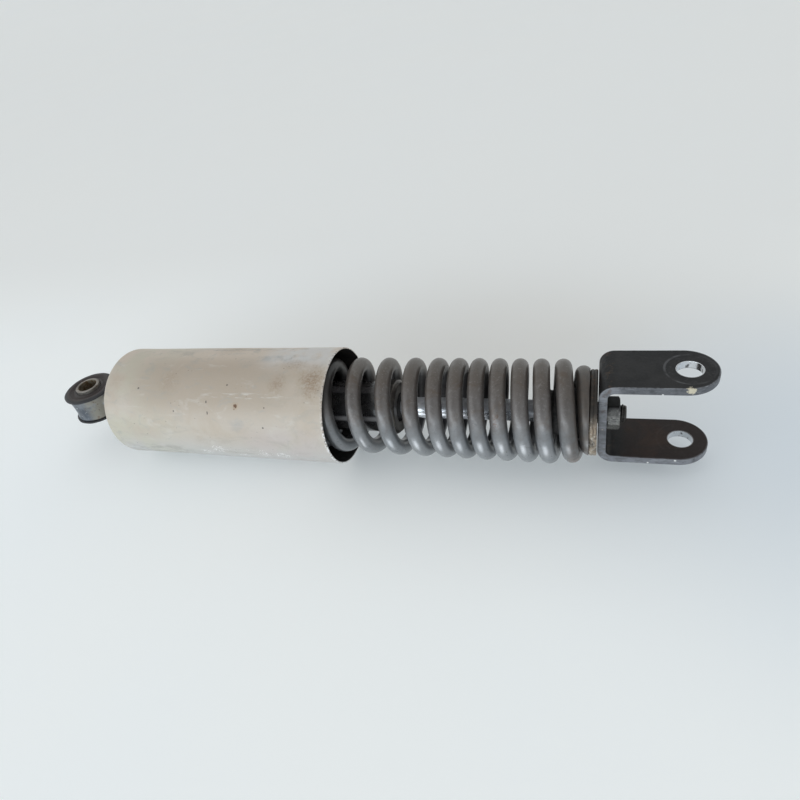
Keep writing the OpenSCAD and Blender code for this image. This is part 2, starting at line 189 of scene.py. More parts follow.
class Mat:
    """A Principled material built from nodes, in millimetres of the object's own frame."""

    def __init__(self, name):
        self.m = bpy.data.materials.new(name)
        self.m.use_nodes = True
        self.t = self.m.node_tree
        self.t.nodes.clear()
        out = self.n("ShaderNodeOutputMaterial")
        self.bsdf = self.n("ShaderNodeBsdfPrincipled")
        self.t.links.new(self.bsdf.outputs[0], out.inputs[0])
        tc = self.n("ShaderNodeTexCoord")
        sc = self.n("ShaderNodeVectorMath")
        sc.operation = "SCALE"
        sc.inputs["Scale"].default_value = 1000.0
        self.t.links.new(tc.outputs["Object"], sc.inputs[0])
        self.p = sc.outputs[0]
        s = self.n("ShaderNodeSeparateXYZ")
        self.t.links.new(self.p, s.inputs[0])
        self.x, self.y, self.z = s.outputs
        self.normal = None

    def n(self, kind):
        return self.t.nodes.new(kind)

    def put(self, sock, v):
        if isinstance(v, bpy.types.NodeSocket):
            self.t.links.new(v, sock)
        elif isinstance(v, (tuple, list)) and len(v) == 3 and sock.type == "RGBA":
            sock.default_value = (*v, 1.0)
        else:
            sock.default_value = v

    def math(self, op, a, b=0.0, c=0.0, clamp=False):
        k = self.n("ShaderNodeMath")
        k.operation = op
        k.use_clamp = clamp
        self.put(k.inputs[0], a)
        self.put(k.inputs[1], b)
        self.put(k.inputs[2], c)
        return k.outputs[0]

    def vec(self, op, a, b=(0, 0, 0)):
        k = self.n("ShaderNodeVectorMath")
        k.operation = op
        self.put(k.inputs[0], a)
        self.put(k.inputs[1], b)
        return k.outputs["Value"] if op in ("LENGTH", "DISTANCE", "DOT_PRODUCT") else k.outputs[0]

    def combine(self, x, y, z):
        k = self.n("ShaderNodeCombineXYZ")
        self.put(k.inputs[0], x)
        self.put(k.inputs[1], y)
        self.put(k.inputs[2], z)
        return k.outputs[0]

    def noise(self, scale, detail=3.0, rough=0.55, distort=0.0, vec=None, stretch=None, at=(0, 0, 0)):
        k = self.n("ShaderNodeTexNoise")
        v = vec or self.p
        if stretch:
            v = self.vec("MULTIPLY", v, stretch)
        if at != (0, 0, 0):
            v = self.vec("ADD", v, at)
        self.put(k.inputs["Vector"], v)
        k.inputs["Scale"].default_value = scale
        k.inputs["Detail"].default_value = detail
        k.inputs["Roughness"].default_value = rough
        k.inputs["Distortion"].default_value = distort
        return k.outputs["Fac"]

    def cells(self, scale, vec=None, stretch=None, feature="F1", at=(0, 0, 0), out="Distance"):
        k = self.n("ShaderNodeTexVoronoi")
        k.feature = feature
        v = vec or self.p
        if stretch:
            v = self.vec("MULTIPLY", v, stretch)
        if at != (0, 0, 0):
            v = self.vec("ADD", v, at)
        self.put(k.inputs["Vector"], v)
        k.inputs["Scale"].default_value = scale
        return k.outputs[out]

    def rng(self, v, a, b, lo=0.0, hi=1.0, smooth=True):
        k = self.n("ShaderNodeMapRange")
        k.interpolation_type = "SMOOTHSTEP" if smooth else "LINEAR"
        k.clamp = True
        self.put(k.inputs["Value"], v)
        k.inputs["From Min"].default_value = a
        k.inputs["From Max"].default_value = b
        k.inputs["To Min"].default_value = lo
        k.inputs["To Max"].default_value = hi
        return k.outputs["Result"]

    def mix(self, f, a, b):
        k = self.n("ShaderNodeMix")
        k.data_type = "RGBA"
        self.put(k.inputs[0], f)
        self.put(k.inputs[6], a)
        self.put(k.inputs[7], b)
        return k.outputs[2]

    def fade(self, f, a, b):
        k = self.n("ShaderNodeMix")
        k.data_type = "FLOAT"
        self.put(k.inputs[0], f)
        self.put(k.inputs[2], a)
        self.put(k.inputs[3], b)
        return k.outputs[0]

    def mul(self, *vs):
        out = vs[0]
        for v in vs[1:]:
            out = self.math("MULTIPLY", out, v)
        return out

    def most(self, *vs):
        out = vs[0]
        for v in vs[1:]:
            out = self.math("MAXIMUM", out, v)
        return out

    def inv(self, v):
        return self.math("SUBTRACT", 1.0, v, clamp=True)

    def spot(self, at, radius, soft=0.5, wobble=0.0, size=0.6, squeeze=None):
        """1 inside a soft, uneven patch round a point, 0 outside."""
        d = self.vec("SUBTRACT", self.p, at)
        if squeeze:
            d = self.vec("MULTIPLY", d, squeeze)
        d = self.vec("LENGTH", d)
        if wobble:
            w = self.math("SUBTRACT", self.noise(size, 3.0), 0.5)
            d = self.math("ADD", d, self.math("MULTIPLY", w, wobble * 2))
        return self.rng(d, radius, radius * (1 - soft), 0.0, 1.0)

    def bump(self, height, strength=0.3, dist=0.1):
        k = self.n("ShaderNodeBump")
        k.inputs["Strength"].default_value = strength
        k.inputs["Distance"].default_value = dist * MM
        self.put(k.inputs["Height"], height)
        if self.normal:
            self.put(k.inputs["Normal"], self.normal)
        self.normal = k.outputs[0]

    def finish(self, color, rough, metal=0.0, **more):
        b = self.bsdf.inputs
        self.put(b["Base Color"], color)
        self.put(b["Roughness"], rough)
        self.put(b["Metallic"], metal)
        for k, v in more.items():
            self.put(b[k.replace("_", " ")], v)
        if self.normal:
            self.put(b["Normal"], self.normal)
        return self.m


def paint_cover():
    """Old off-white paint on tin: yellowed patches, brown stains, specks, scratches and chips, with painted light
    making the lower side cooler and the top lighter.
    """
    m = Mat("cover_paint_worn")
    warm = m.rng(m.noise(0.045, 4.0, 0.6, 0.4), 0.40, 0.64)
    fine = m.noise(0.35, 5.0, 0.65)
    col = m.mix(warm, (0.500, 0.440, 0.374), (0.472, 0.398, 0.320))
    # painted light: the lower side turns cooler and greyer, as under cool light from below
    low = m.rng(m.z, 8.0, -14.0)
    col = m.mix(m.mul(low, 0.85), col, (0.486, 0.482, 0.474))
    # painted light: the top, towards the back, is lighter and warmer
    col = m.mix(m.mul(m.rng(m.y, -12.0, 4.0), 0.8), col, (0.622, 0.532, 0.444))
    pink = m.mul(m.rng(m.x, 100.0, 132.0), m.rng(m.z, 14.0, 2.0), m.rng(m.noise(0.07, 4.0, 0.6, 0.5, at=(2, 9, 6)), 0.36, 0.62))
    col = m.mix(m.mul(pink, 0.6), col, (0.500, 0.440, 0.425))
    yellow = m.mul(m.rng(m.x, 95.0, 40.0), m.rng(m.noise(0.06, 3.0, at=(9, 3, 5)), 0.38, 0.62))
    col = m.mix(m.mul(yellow, 0.6), col, (0.488, 0.474, 0.378))
    col = m.mix(m.rng(fine, 0.52, 0.75, 0.0, 0.35), col, (0.50, 0.475, 0.43))
    col = m.mix(m.rng(fine, 0.46, 0.25, 0.0, 0.30), col, (0.335, 0.305, 0.265))
    # browner where it was handled, above the middle of the side
    hand = m.mul(m.rng(m.math("SUBTRACT", m.mul(m.z, 0.838), m.mul(m.y, 0.546)), 21.0, 28.0), m.rng(m.x, 40.0, 66.0), m.rng(m.x, 150.0, 118.0, 0.35, 1.0),
                 m.fade(m.noise(0.06, 3.0, 0.6, at=(5, 12, 1)), 0.75, 1.0))
    col = m.mix(m.mul(hand, 0.85), col, (0.410, 0.338, 0.268))
    # cloudy handling marks, drawn out along the cover
    cloud = m.noise(0.09, 5.0, 0.62, 0.8, stretch=(0.45, 1.0, 1.0), at=(40, 7, 2))
    col = m.mix(m.rng(cloud, 0.52, 0.72, 0.0, 0.55), col, (0.365, 0.335, 0.295))
    smear = m.rng(m.noise(0.16, 5.0, 0.66, 1.2, stretch=(0.7, 1.0, 1.0), at=(3, 31, 12)), 0.54, 0.70)
    col = m.mix(m.mul(smear, 0.40), col, (0.350, 0.345, 0.325))
    pale = m.rng(m.noise(0.13, 5.0, 0.62, 0.8, stretch=(0.55, 1.0, 1.0), at=(21, 2, 17)), 0.56, 0.72)
    col = m.mix(m.mul(pale, 0.45), col, (0.560, 0.530, 0.480))
    # grime line where the top meets what it leaned on, and a soft bruise on the side
    line = m.mul(m.rng(m.x, 70.0, 92.0), m.rng(m.x, 157.0, 148.0), m.rng(m.math("ABSOLUTE", m.math("SUBTRACT", m.y, m.math("ADD", 9.5, m.mul(m.noise(0.08, 3.0), 3.0)))), 2.4, 0.4),
                 m.rng(m.z, 20.0, 24.0), m.rng(m.noise(0.35, 5.0, 0.7, stretch=(0.5, 1, 1)), 0.42, 0.62))
    col = m.mix(m.mul(line, 0.55), col, (0.17, 0.16, 0.15))
    col = m.mix(m.mul(m.spot((112.6, -27.2, 9.0), 5.0, 0.9, 3.0, 0.3, (0.7, 1, 1)), 0.35), col, (0.33, 0.33, 0.34))
    foot = m.mul(m.rng(m.x, 92.0, 60.0), m.rng(m.z, -4.0, -9.0), m.rng(m.noise(0.3, 5.0, 0.7, stretch=(0.4, 1, 1), at=(8, 8, 3)), 0.44, 0.62))
    col = m.mix(m.mul(foot, 0.5), col, (0.26, 0.245, 0.22))
    # a cooler bare-looking streak along the top
    cool = m.mul(m.rng(m.x, 88.0, 122.0), m.rng(m.vec("LENGTH", m.vec("MULTIPLY", m.vec("SUBTRACT", m.p, (134, 0.5, 28.5)), (0.045, 0.24, 0.3))), 1.0, 0.35))
    col = m.mix(m.mul(cool, m.rng(m.noise(0.2, 4.0), 0.35, 0.6), 0.75), col, (0.270, 0.282, 0.282))
    mouth = m.mul(m.rng(m.x, 116.0, 132.0), m.rng(m.y, -10.0, 2.0), m.rng(m.noise(0.09, 4.0, 0.6, at=(6, 1, 12)), 0.34, 0.60))
    col = m.mix(m.mul(mouth, 0.85), col, (0.620, 0.610, 0.600))
    # brown stains near the rim
    grit = m.rng(m.noise(1.1, 5.0, 0.7), 0.44, 0.60)
    stain = m.most(
        m.mul(m.spot((152, -12.5, 25.5), 9.0, 0.9, 3.0, 0.35, (0.95, 0.75, 0.75)), 0.85),
        m.mul(m.spot((134.5, -14.2, 24.9), 7.0, 0.9, 2.5, 0.4), 0.55),
        m.mul(m.spot((141, -4.0, 28.4), 5.0, 0.9, 2.0, 0.5, (0.5, 1, 1)), 0.45),
        m.mul(m.spot((73, -14, 25), 9.0, 0.9, 3.0, 0.3), 0.25),
        m.mul(m.spot((100, 12, 26), 12.0, 0.9, 4.0, 0.3), 0.3))
    col = m.mix(m.mul(stain, m.fade(grit, 0.45, 1.0)), col, (0.270, 0.185, 0.115))
    # rust
    rust = m.most(m.spot((112.9, -22.6, 17.7), 1.25, 0.45, 0.7, 1.8),
                  m.mul(m.spot((112.2, -23.5, 16.4), 0.6, 0.6, 0.5, 2.0), 0.6))
    col = m.mix(m.mul(m.spot((112.9, -22.6, 17.7), 2.6, 0.8, 1.2, 1.0), 0.35), col, (0.42, 0.27, 0.15))
    col = m.mix(rust, col, (0.150, 0.085, 0.050))
    # dark specks
    specks = m.most(
        m.spot((96.4, -21.6, 18.9), 0.75, 0.3, 0.3, 2.5, (1.6, 1, 1)),
        m.spot((96.9, -24.8, 14.5), 0.80, 0.3, 0.3, 2.5, (1.9, 0.8, 0.8)),
        m.spot((107.3, -15.1, 24.4), 0.55, 0.4, 0.2, 2.5),
        m.spot((126.9, -27.4, 8.5), 0.6, 0.4, 0.2, 2.5),
        m.spot((128.6, -22.9, 17.3), 0.45, 0.4, 0.2, 2.5),
        m.spot((77.0, -24.6, 14.8), 0.6, 0.4, 0.2, 2.5),
        m.spot((55.1, -17.1, 23.0), 0.7, 0.4, 0.3, 2.5),
        m.mul(m.rng(m.cells(0.30), 0.085, 0.05), m.rng(m.noise(0.05, 2.0, at=(7, 1, 9)), 0.44, 0.58)),
        m.mul(m.rng(m.cells(0.7, at=(2, 2, 2)), 0.10, 0.05), 0.55, m.rng(m.noise(0.04, 2.0, at=(1, 6, 3)), 0.47, 0.6)))
    col = m.mix(m.mul(specks, 0.85), col, (0.075, 0.062, 0.055))
    # fine scratches along and round the cover, some with bright edges
    scr = m.rng(m.noise(0.5, 2.0, 0.5, 0.0, stretch=(0.06, 1.4, 1.4), at=(0, 5, 5)), 0.675, 0.72)
    scr2 = m.rng(m.noise(0.6, 2.0, 0.5, 0.6, stretch=(0.22, 1.1, 1.1), at=(8, 1, 5)), 0.70, 0.74)
    band = m.rng(m.vec("LENGTH", m.vec("MULTIPLY", m.vec("SUBTRACT", m.p, (118, -19.3, 21.2)), (0.033, 0.5, 0.5))), 1.0, 0.5)
    lines = m.most(m.mul(scr, 0.16), m.mul(scr2, 0.35), m.mul(m.rng(m.noise(0.75, 3.0, 0.6, 0.4, stretch=(0.18, 1.6, 1.6), at=(1, 9, 4)), 0.56, 0.62), band))
    col = m.mix(m.mul(lines, 0.6), col, (0.62, 0.60, 0.565))
    # white chips low on the side and all round the rim
    side = m.mul(m.rng(m.vec("LENGTH", m.vec("MULTIPLY", m.vec("SUBTRACT", m.p, (118, -27.6, -9.2)), (0.026, 0.22, 0.22))), 1.0, 0.45),
                 m.rng(m.noise(1.2, 3.0, 0.6, 0.5, stretch=(0.7, 1.5, 1.5), at=(4, 4, 1)), 0.645, 0.69))
    knocks = m.most(m.spot((95.5, -27.7, -7.4), 4.2, 0.5, 2.2, 0.45, (0.75, 1, 1)), m.spot((120.6, -26.6, -10.6), 3.4, 0.5, 2.0, 0.5),
                    m.spot((130.5, -26.5, -10.8), 3.8, 0.5, 2.0, 0.5, (0.8, 1, 1)), m.spot((86.7, -26.5, -10.8), 3.0, 0.5, 1.8, 0.5, (0.7, 1, 1)),
                    m.spot((108.2, -25.6, -12.8), 2.8, 0.5, 1.8, 0.5, (0.7, 1, 1)))
    side = m.most(side, m.mul(knocks, m.rng(m.noise(1.5, 3.0, 0.6, 0.5, stretch=(0.8, 1.2, 1.2), at=(9, 2, 1)), 0.54, 0.60)))
    rim = m.mul(m.rng(m.x, 156.9, 158.3), m.rng(m.noise(0.55, 4.0, 0.65), 0.43, 0.52), m.rng(m.math("ADD", m.z, m.mul(m.y, 0.5)), 4.0, -14.0, 0.30, 1.0))
    chips = m.most(m.mul(side, 0.9), rim)
    col = m.mix(chips, col, (0.86, 0.85, 0.84))
    darkrim = m.mul(m.rng(m.x, 157.3, 158.4), m.rng(m.noise(0.9, 3.0, at=(5, 0, 2)), 0.53, 0.62))
    col = m.mix(m.mul(darkrim, 0.9), col, (0.10, 0.085, 0.075))
    peel = m.noise(0.9, 3.0, 0.5)
    m.bump(peel, 0.20, 0.12)
    m.bump(m.math("SUBTRACT", m.inv(m.most(chips, rust)), m.mul(lines, 0.4)), 0.5, 0.06)
    rough = m.fade(m.rng(fine, 0.3, 0.7), 0.40, 0.56)
    rough = m.fade(m.most(rust, stain), rough, 0.8)
    return m.finish(col, rough, Coat_Weight=0.12, Coat_Roughness=0.35)


def inside_cover():
    """Bare black inside of the cover with dust and thin rust."""
    m = Mat("cover_inside_black")
    dust = m.noise(0.12, 5.0, 0.65)
    col = m.mix(m.rng(dust, 0.42, 0.7), (0.012, 0.011, 0.011), (0.040, 0.034, 0.030))
    rust = m.mul(m.rng(m.noise(0.5, 4.0, 0.7), 0.60, 0.70), m.rng(m.x, 120.0, 158.0))
    col = m.mix(m.mul(rust, 0.7), col, (0.09, 0.04, 0.02))
    m.bump(m.noise(0.8, 4.0), 0.25, 0.15)
    return m.finish(col, m.fade(dust, 0.45, 0.7))


def paint_spring():
    """Satin grey spring enamel, brownish with road film and painted shade on top, painted light low at the front, worn
    on the outer side of the coils.
    """
    m = Mat("spring_paint_grey")
    yz = m.combine(0.0, m.y, m.z)
    rad = m.vec("LENGTH", yz)
    big = m.noise(0.05, 4.0, 0.6, 0.3)
    fine = m.noise(0.9, 5.0, 0.68)
    col = m.mix(m.rng(big, 0.38, 0.64), (0.195, 0.206, 0.218), (0.245, 0.252, 0.262))
    # painted shade and light: a darker warm film on the upper side, partly road dirt and partly painted shade, and a
    # lighter, cooler low front side as painted light from below
    height = m.math("ADD", m.mul(m.z, 0.8), m.mul(m.y, 0.6))
    film = m.mul(m.rng(m.math("ADD", height, m.mul(m.math("SUBTRACT", m.noise(0.22, 5.0, 0.65, at=(4, 14, 8)), 0.5), 12.0)), -15.0, 1.0), m.fade(m.noise(0.16, 4.0), 0.75, 1.0))
    col = m.mix(m.mul(film, 0.92), col, (0.100, 0.083, 0.074))
    # painted shade: darker still towards the top
    col = m.mix(m.mul(m.rng(height, 4.0, 18.0), 0.7), col, (0.103, 0.085, 0.070))
    mottle = m.noise(0.40, 5.0, 0.68, 0.4, at=(12, 3, 5))
    col = m.mix(m.rng(mottle, 0.54, 0.70, 0.0, 0.50), col, (0.195, 0.188, 0.180))
    # the dark specks come in a lit copy low down and a painted-shade copy on top
    col = m.mix(m.rng(mottle, 0.45, 0.30, 0.0, 0.45), col, m.mix(film, (0.130, 0.130, 0.132), (0.060, 0.052, 0.047)))
    brown = m.mul(m.rng(m.noise(0.11, 5.0, 0.65, 0.8, at=(30, 4, 8)), 0.50, 0.70), film)
    col = m.mix(m.mul(brown, 0.65), col, (0.098, 0.070, 0.050))
    col = m.mix(m.mul(m.rng(fine, 0.55, 0.78, 0.0, 0.65), m.fade(film, 0.45, 1.0)), col, (0.290, 0.288, 0.284))
    # the dark speckle again has a lit copy low down and a painted-shade copy on top
    col = m.mix(m.mul(m.rng(fine, 0.40, 0.22, 0.0, 0.50), m.fade(film, 0.5, 1.0)), col, m.mix(film, (0.110, 0.108, 0.108), (0.056, 0.050, 0.046)))
    # a few rust specks on one coil, a dark rub on another
    spots = m.mul(m.most(m.spot((237.0, -19.8, 12.4), 2.6, 0.7, 1.6, 0.7, (1.3, 1, 0.8)), m.mul(m.spot((236.5, -21.3, 9.7), 1.8, 0.6, 1.2, 0.9), 0.8)), m.rng(m.noise(1.1, 4.0, 0.7, at=(5, 5, 9)), 0.46, 0.58))
    col = m.mix(m.mul(spots, 0.75), col, (0.105, 0.052, 0.030))
    rub = m.mul(m.spot((227.5, -20.9, 10.6), 2.4, 0.8, 1.8, 0.6), m.rng(m.noise(0.8, 4.0, 0.7, at=(1, 5, 4)), 0.42, 0.60))
    col = m.mix(m.mul(rub, 0.6), col, (0.045, 0.042, 0.042))
    # grit speckle and small chips
    grit = m.mul(m.rng(m.cells(0.85, at=(3, 1, 7)), 0.13, 0.07), m.rng(m.noise(0.08, 3.0, at=(2, 2, 9)), 0.42, 0.60))
    col = m.mix(m.mul(grit, m.fade(film, 0.3, 0.6)), col, (0.055, 0.046, 0.040))
    chip = m.mul(m.rng(m.noise(1.4, 3.0, 0.6, at=(7, 7, 1)), 0.70, 0.74), m.rng(rad, 20.5, 22.8))
    col = m.mix(m.mul(chip, 0.6), col, (0.34, 0.335, 0.325))
    # painted shade: the inner side of the coils is darker
    inner = m.rng(rad, 19.6, 16.6)
    col = m.mix(m.mul(inner, m.fade(big, 0.30, 0.7)), col, (0.110, 0.111, 0.118))
    # painted shade: the first coil is darkened on its upper side where the cover shades it
    cover_shade = m.mul(m.rng(m.x, 166.0, 158.0), m.rng(m.math("ADD", m.mul(m.z, 0.744), m.mul(m.y, 0.668)), -9.0, 7.0))
    col = m.mix(m.mul(cover_shade, 0.9), col, (0.016, 0.014, 0.014))
    # brown dirt trapped in the end coils
    end = m.rng(m.x, 262.0, 271.0)
    dirt = m.mul(end, m.rng(m.noise(0.28, 4.0, 0.65), 0.36, 0.62))
    col = m.mix(m.mul(end, 0.75), col, (0.062, 0.055, 0.050))
    col = m.mix(m.mul(dirt, 0.6), col, (0.100, 0.080, 0.066))
    low = m.mul(end, m.rng(m.z, -4.0, -14.0), m.rng(m.noise(0.4, 4.0, at=(6, 2, 2)), 0.35, 0.60))
    col = m.mix(m.mul(low, 0.80), col, (0.275, 0.215, 0.185))
    m.bump(m.mul(m.noise(1.3, 4.0, 0.6), m.fade(film, 0.15, 1.0)), 0.14, 0.06)
    m.bump(m.inv(m.mul(m.most(chip, m.mul(grit, 0.5)), m.fade(film, 0.3, 1.0))), 0.3, 0.04)
    rough = m.fade(m.rng(fine, 0.3, 0.72), 0.27, 0.34)
    rough = m.fade(m.most(m.mul(film, 0.85), dirt), rough, 0.56)
    return m.finish(col, rough, 0.50, Coat_Weight=0.38, Coat_Roughness=0.19)


def paint_clevis():
    """Black-finished steel strip: satin faces, scuffed lighter edges with painted light towards the bottom, painted
    shade in the bends, washer marks, bright bores and rust.
    """
    m = Mat("clevis_black_worn")
    big = m.noise(0.07, 5.0, 0.62, 0.5)
    fine = m.noise(0.9, 5.0, 0.7)
    col = m.mix(m.rng(big, 0.35, 0.68), (0.014, 0.014, 0.015), (0.024, 0.0235, 0.0245))
    col = m.mix(m.rng(fine, 0.55, 0.8, 0.0, 0.30), col, (0.045, 0.045, 0.047))
    # distance in from the strip's two cut edges and round the arm ends
    ay = m.math("ABSOLUTE", m.math("SUBTRACT", m.y, 2.8))
    tip = m.vec("LENGTH", m.combine(m.math("MAXIMUM", m.math("SUBTRACT", m.x, 310.9), 0.0), m.math("SUBTRACT", m.y, 2.8), 0.0))
    edge = m.rng(tip, 12.15, 12.62)
    patch = m.rng(m.noise(0.32, 5.0, 0.65, stretch=(0.6, 1, 1), at=(4, 4, 4)), 0.34, 0.60)
    # painted light: the cut edges are lighter towards the bottom and along the base; the rest of their lightness is
    # scuffing
    col = m.mix(m.mul(edge, m.fade(patch, 0.55, 1.0)), col, m.mix(m.most(m.rng(m.z, 14.0, -14.0), m.mul(m.rng(m.x, 288.0, 284.5), 0.75)), (0.124, 0.129, 0.141), (0.226, 0.232, 0.252)))
    # long fine scratches on the cut edges
    es = m.mul(edge, m.rng(m.noise(1.2, 3.0, 0.6, stretch=(0.10, 1, 1.6)), 0.60, 0.68))
    col = m.mix(m.mul(es, 0.7), col, (0.36, 0.37, 0.39))
    ed = m.mul(edge, m.rng(m.noise(0.8, 4.0, 0.65, stretch=(0.3, 1, 1.3), at=(2, 0, 3)), 0.58, 0.68))
    col = m.mix(m.mul(ed, 0.7), col, (0.035, 0.034, 0.036))
    # edges rubbed bright where the face turns over
    az = m.math("ABSOLUTE", m.math("SUBTRACT", m.z, 1.0))
    turn = m.mul(m.rng(tip, 12.0, 12.5), m.rng(tip, 12.9, 12.55), m.rng(m.noise(0.5, 4.0, 0.7), 0.40, 0.58))
    col = m.mix(m.mul(turn, 0.55), col, (0.24, 0.25, 0.27))
    # washer marks round both bolt holes
    hole = m.vec("LENGTH", m.combine(m.math("SUBTRACT", m.x, 312.6), m.math("SUBTRACT", m.y, 2.8), 0.0))
    ring = m.mul(m.rng(hole, 8.9, 9.5), m.rng(hole, 10.3, 9.8), m.rng(m.noise(0.22, 3.0), 0.34, 0.62), m.rng(m.x, 316.0, 306.0, 0.35, 1.0), m.rng(m.z, -8.0, 8.0, 0.35, 1.0))
    col = m.mix(m.mul(ring, 0.55), col, (0.125, 0.128, 0.135))
    inring = m.mul(m.rng(hole, 9.4, 8.8), m.rng(m.noise(0.5, 4.0, 0.7, at=(3, 9, 1)), 0.52, 0.72))
    col = m.mix(m.mul(inring, 0.3), col, (0.10, 0.10, 0.102))
    # bright worn bolt bores
    bore = m.rng(hole, 5.50, 5.22)
    bright = m.mul(bore, m.rng(m.noise(0.6, 3.0, 0.6, stretch=(1, 1, 0.5)), 0.26, 0.44))
    col = m.mix(bright, col, (0.72, 0.73, 0.75))
    # painted shade: the bends are darkened
    bend = m.mul(m.rng(m.x, 286.0, 280.0), m.rng(az, 13.0, 17.0), m.inv(edge))
    col = m.mix(m.mul(bend, 0.75), col, (0.006, 0.006, 0.0065))
    # rust on the inner faces and in the corner by the base
    inside = m.mul(m.rng(az, 18.2, 17.9), m.rng(m.x, 286.0, 292.0))
    col = m.mix(m.mul(inside, 0.6), col, (0.026, 0.015, 0.0125))
    r1 = m.mul(inside, m.rng(m.noise(0.07, 5.0, 0.65, 0.8, at=(2, 2, 7)), 0.36, 0.68), m.rng(m.x, 318.0, 300.0))
    col = m.mix(m.mul(r1, 0.6), col, (0.050, 0.026, 0.017))
    r2 = m.mul(m.rng(m.x, 288.0, 281.0), m.rng(m.noise(0.35, 5.0, 0.7, at=(5, 1, 3)), 0.52, 0.66))
    col = m.mix(m.mul(r2, 0.5), col, (0.085, 0.050, 0.030))
    # chips down to primer
    chips = m.most(
        m.spot((312.2, -9.7, 21.3), 1.35, 0.20, 1.9, 1.6, (0.72, 1, 1)),
        m.mul(m.rng(m.cells(0.13, at=(2, 4, 6)), 0.06, 0.035), edge, m.rng(m.noise(0.05, 2.0, at=(4, 2, 2)), 0.42, 0.55)))
    col = m.mix(chips, col, (0.60, 0.545, 0.42))
    white = m.most(m.spot((280.3, -9.6, 22.0), 0.7, 0.3, 0.3, 2.0), m.spot((302, -9.9, 19.2), 0.5, 0.3, 0.3, 2.0),
                   m.spot((309.8, -9.8, -17.6), 0.6, 0.3, 0.3, 2.0), m.spot((299.0, -9.9, -19.6), 0.5, 0.3, 0.3, 2.0))
    col = m.mix(white, col, (0.72, 0.72, 0.70))
    m.bump(m.noise(0.7, 4.0, 0.6), 0.20, 0.10)
    m.bump(m.inv(m.most(chips, m.mul(es, 0.4), m.mul(r1, 0.3))), 0.5, 0.05)
    rough = m.fade(m.rng(fine, 0.3, 0.7), 0.40, 0.60)
    rough = m.fade(m.mul(edge, 0.7), rough, 0.38)
    rough = m.fade(bright, rough, 0.20)
    return m.finish(col, rough, m.fade(m.most(bright, m.mul(edge, 0.30)), 0.05, 1.0), Specular_IOR_Level=0.22)


def cast_eye():
    """Blue-grey painted steel of the eye, with bare shiny spots, tan dirt toward the cover, and painted shade on the
    far side and underside.
    """
    m = Mat("eye_steel_worn")
    big = m.noise(0.12, 5.0, 0.62, 0.4)
    fine = m.noise(0.9, 5.0, 0.7)
    col = m.mix(m.rng(big, 0.40, 0.60), (0.090, 0.106, 0.128), (0.235, 0.255, 0.280))
    col = m.mix(m.rng(fine, 0.5, 0.8, 0.0, 0.6), col, (0.30, 0.315, 0.34))
    # dark grime patches, weighted towards the underside as painted shade
    dark = m.mul(m.rng(m.noise(0.35, 5.0, 0.65, at=(3, 8, 5)), 0.58, 0.70), m.rng(m.z, 3.5, -3.5, 0.45, 1.0))
    col = m.mix(m.mul(dark, 0.7), col, (0.040, 0.041, 0.046))
    # painted shade: darker on the side away from the cover and on the underside
    col = m.mix(m.most(m.rng(m.x, 6.5, 0.0, 0.0, 0.45), m.rng(m.z, -2.5, -6.0, 0.0, 0.40)), col, (0.055, 0.062, 0.075))
    shiny = m.rng(m.noise(0.6, 3.0, 0.6, at=(8, 8, 2)), 0.64, 0.70)
    col = m.mix(m.mul(shiny, 0.8), col, (0.50, 0.52, 0.55))
    tan = m.mul(m.rng(m.x, 1.5, 7.5), m.rng(m.noise(0.25, 4.0, at=(1, 1, 4)), 0.28, 0.52))
    col = m.mix(m.mul(tan, 0.8), col, (0.300, 0.278, 0.228))
    brown = m.mul(m.rng(m.noise(0.5, 4.0, 0.7, at=(6, 3, 1)), 0.56, 0.68), m.rng(m.x, -4.0, 8.0))
    col = m.mix(m.mul(brown, 0.6), col, (0.115, 0.060, 0.030))
    m.bump(m.noise(0.8, 5.0, 0.65), 0.45, 0.22)
    rough = m.fade(fine, 0.28, 0.52)
    rough = m.fade(m.most(tan, dark), rough, 0.66)
    return m.finish(col, rough, m.fade(m.mul(shiny, 0.8), 0.40, 1.0))


def rubber(name, base=(0.022, 0.021, 0.022), dusty=(0.070, 0.064, 0.060), dust=0.6, scale=0.2, rough=0.62):
    """Aged black rubber with a dusty bloom and fine surface crazing."""
    m = Mat(name)
    d = m.noise(scale, 5.0, 0.65, 0.3)
    fine = m.noise(1.6, 4.0, 0.7)
    col = m.mix(m.mul(m.rng(d, 0.40, 0.68), dust), base, dusty)
    col = m.mix(m.rng(fine, 0.58, 0.80, 0.0, 0.4), col, tuple(v * 1.7 for v in dusty))
    crack = m.rng(m.cells(0.8, feature="DISTANCE_TO_EDGE"), 0.035, 0.0)
    col = m.mix(m.mul(crack, 0.25), col, (0.008, 0.008, 0.008))
    m.bump(m.math("SUBTRACT", m.noise(1.1, 4.0), m.mul(crack, 0.3)), 0.30, 0.10)
    return m.finish(col, m.fade(fine, rough - 0.12, rough + 0.14), Specular_IOR_Level=0.42)


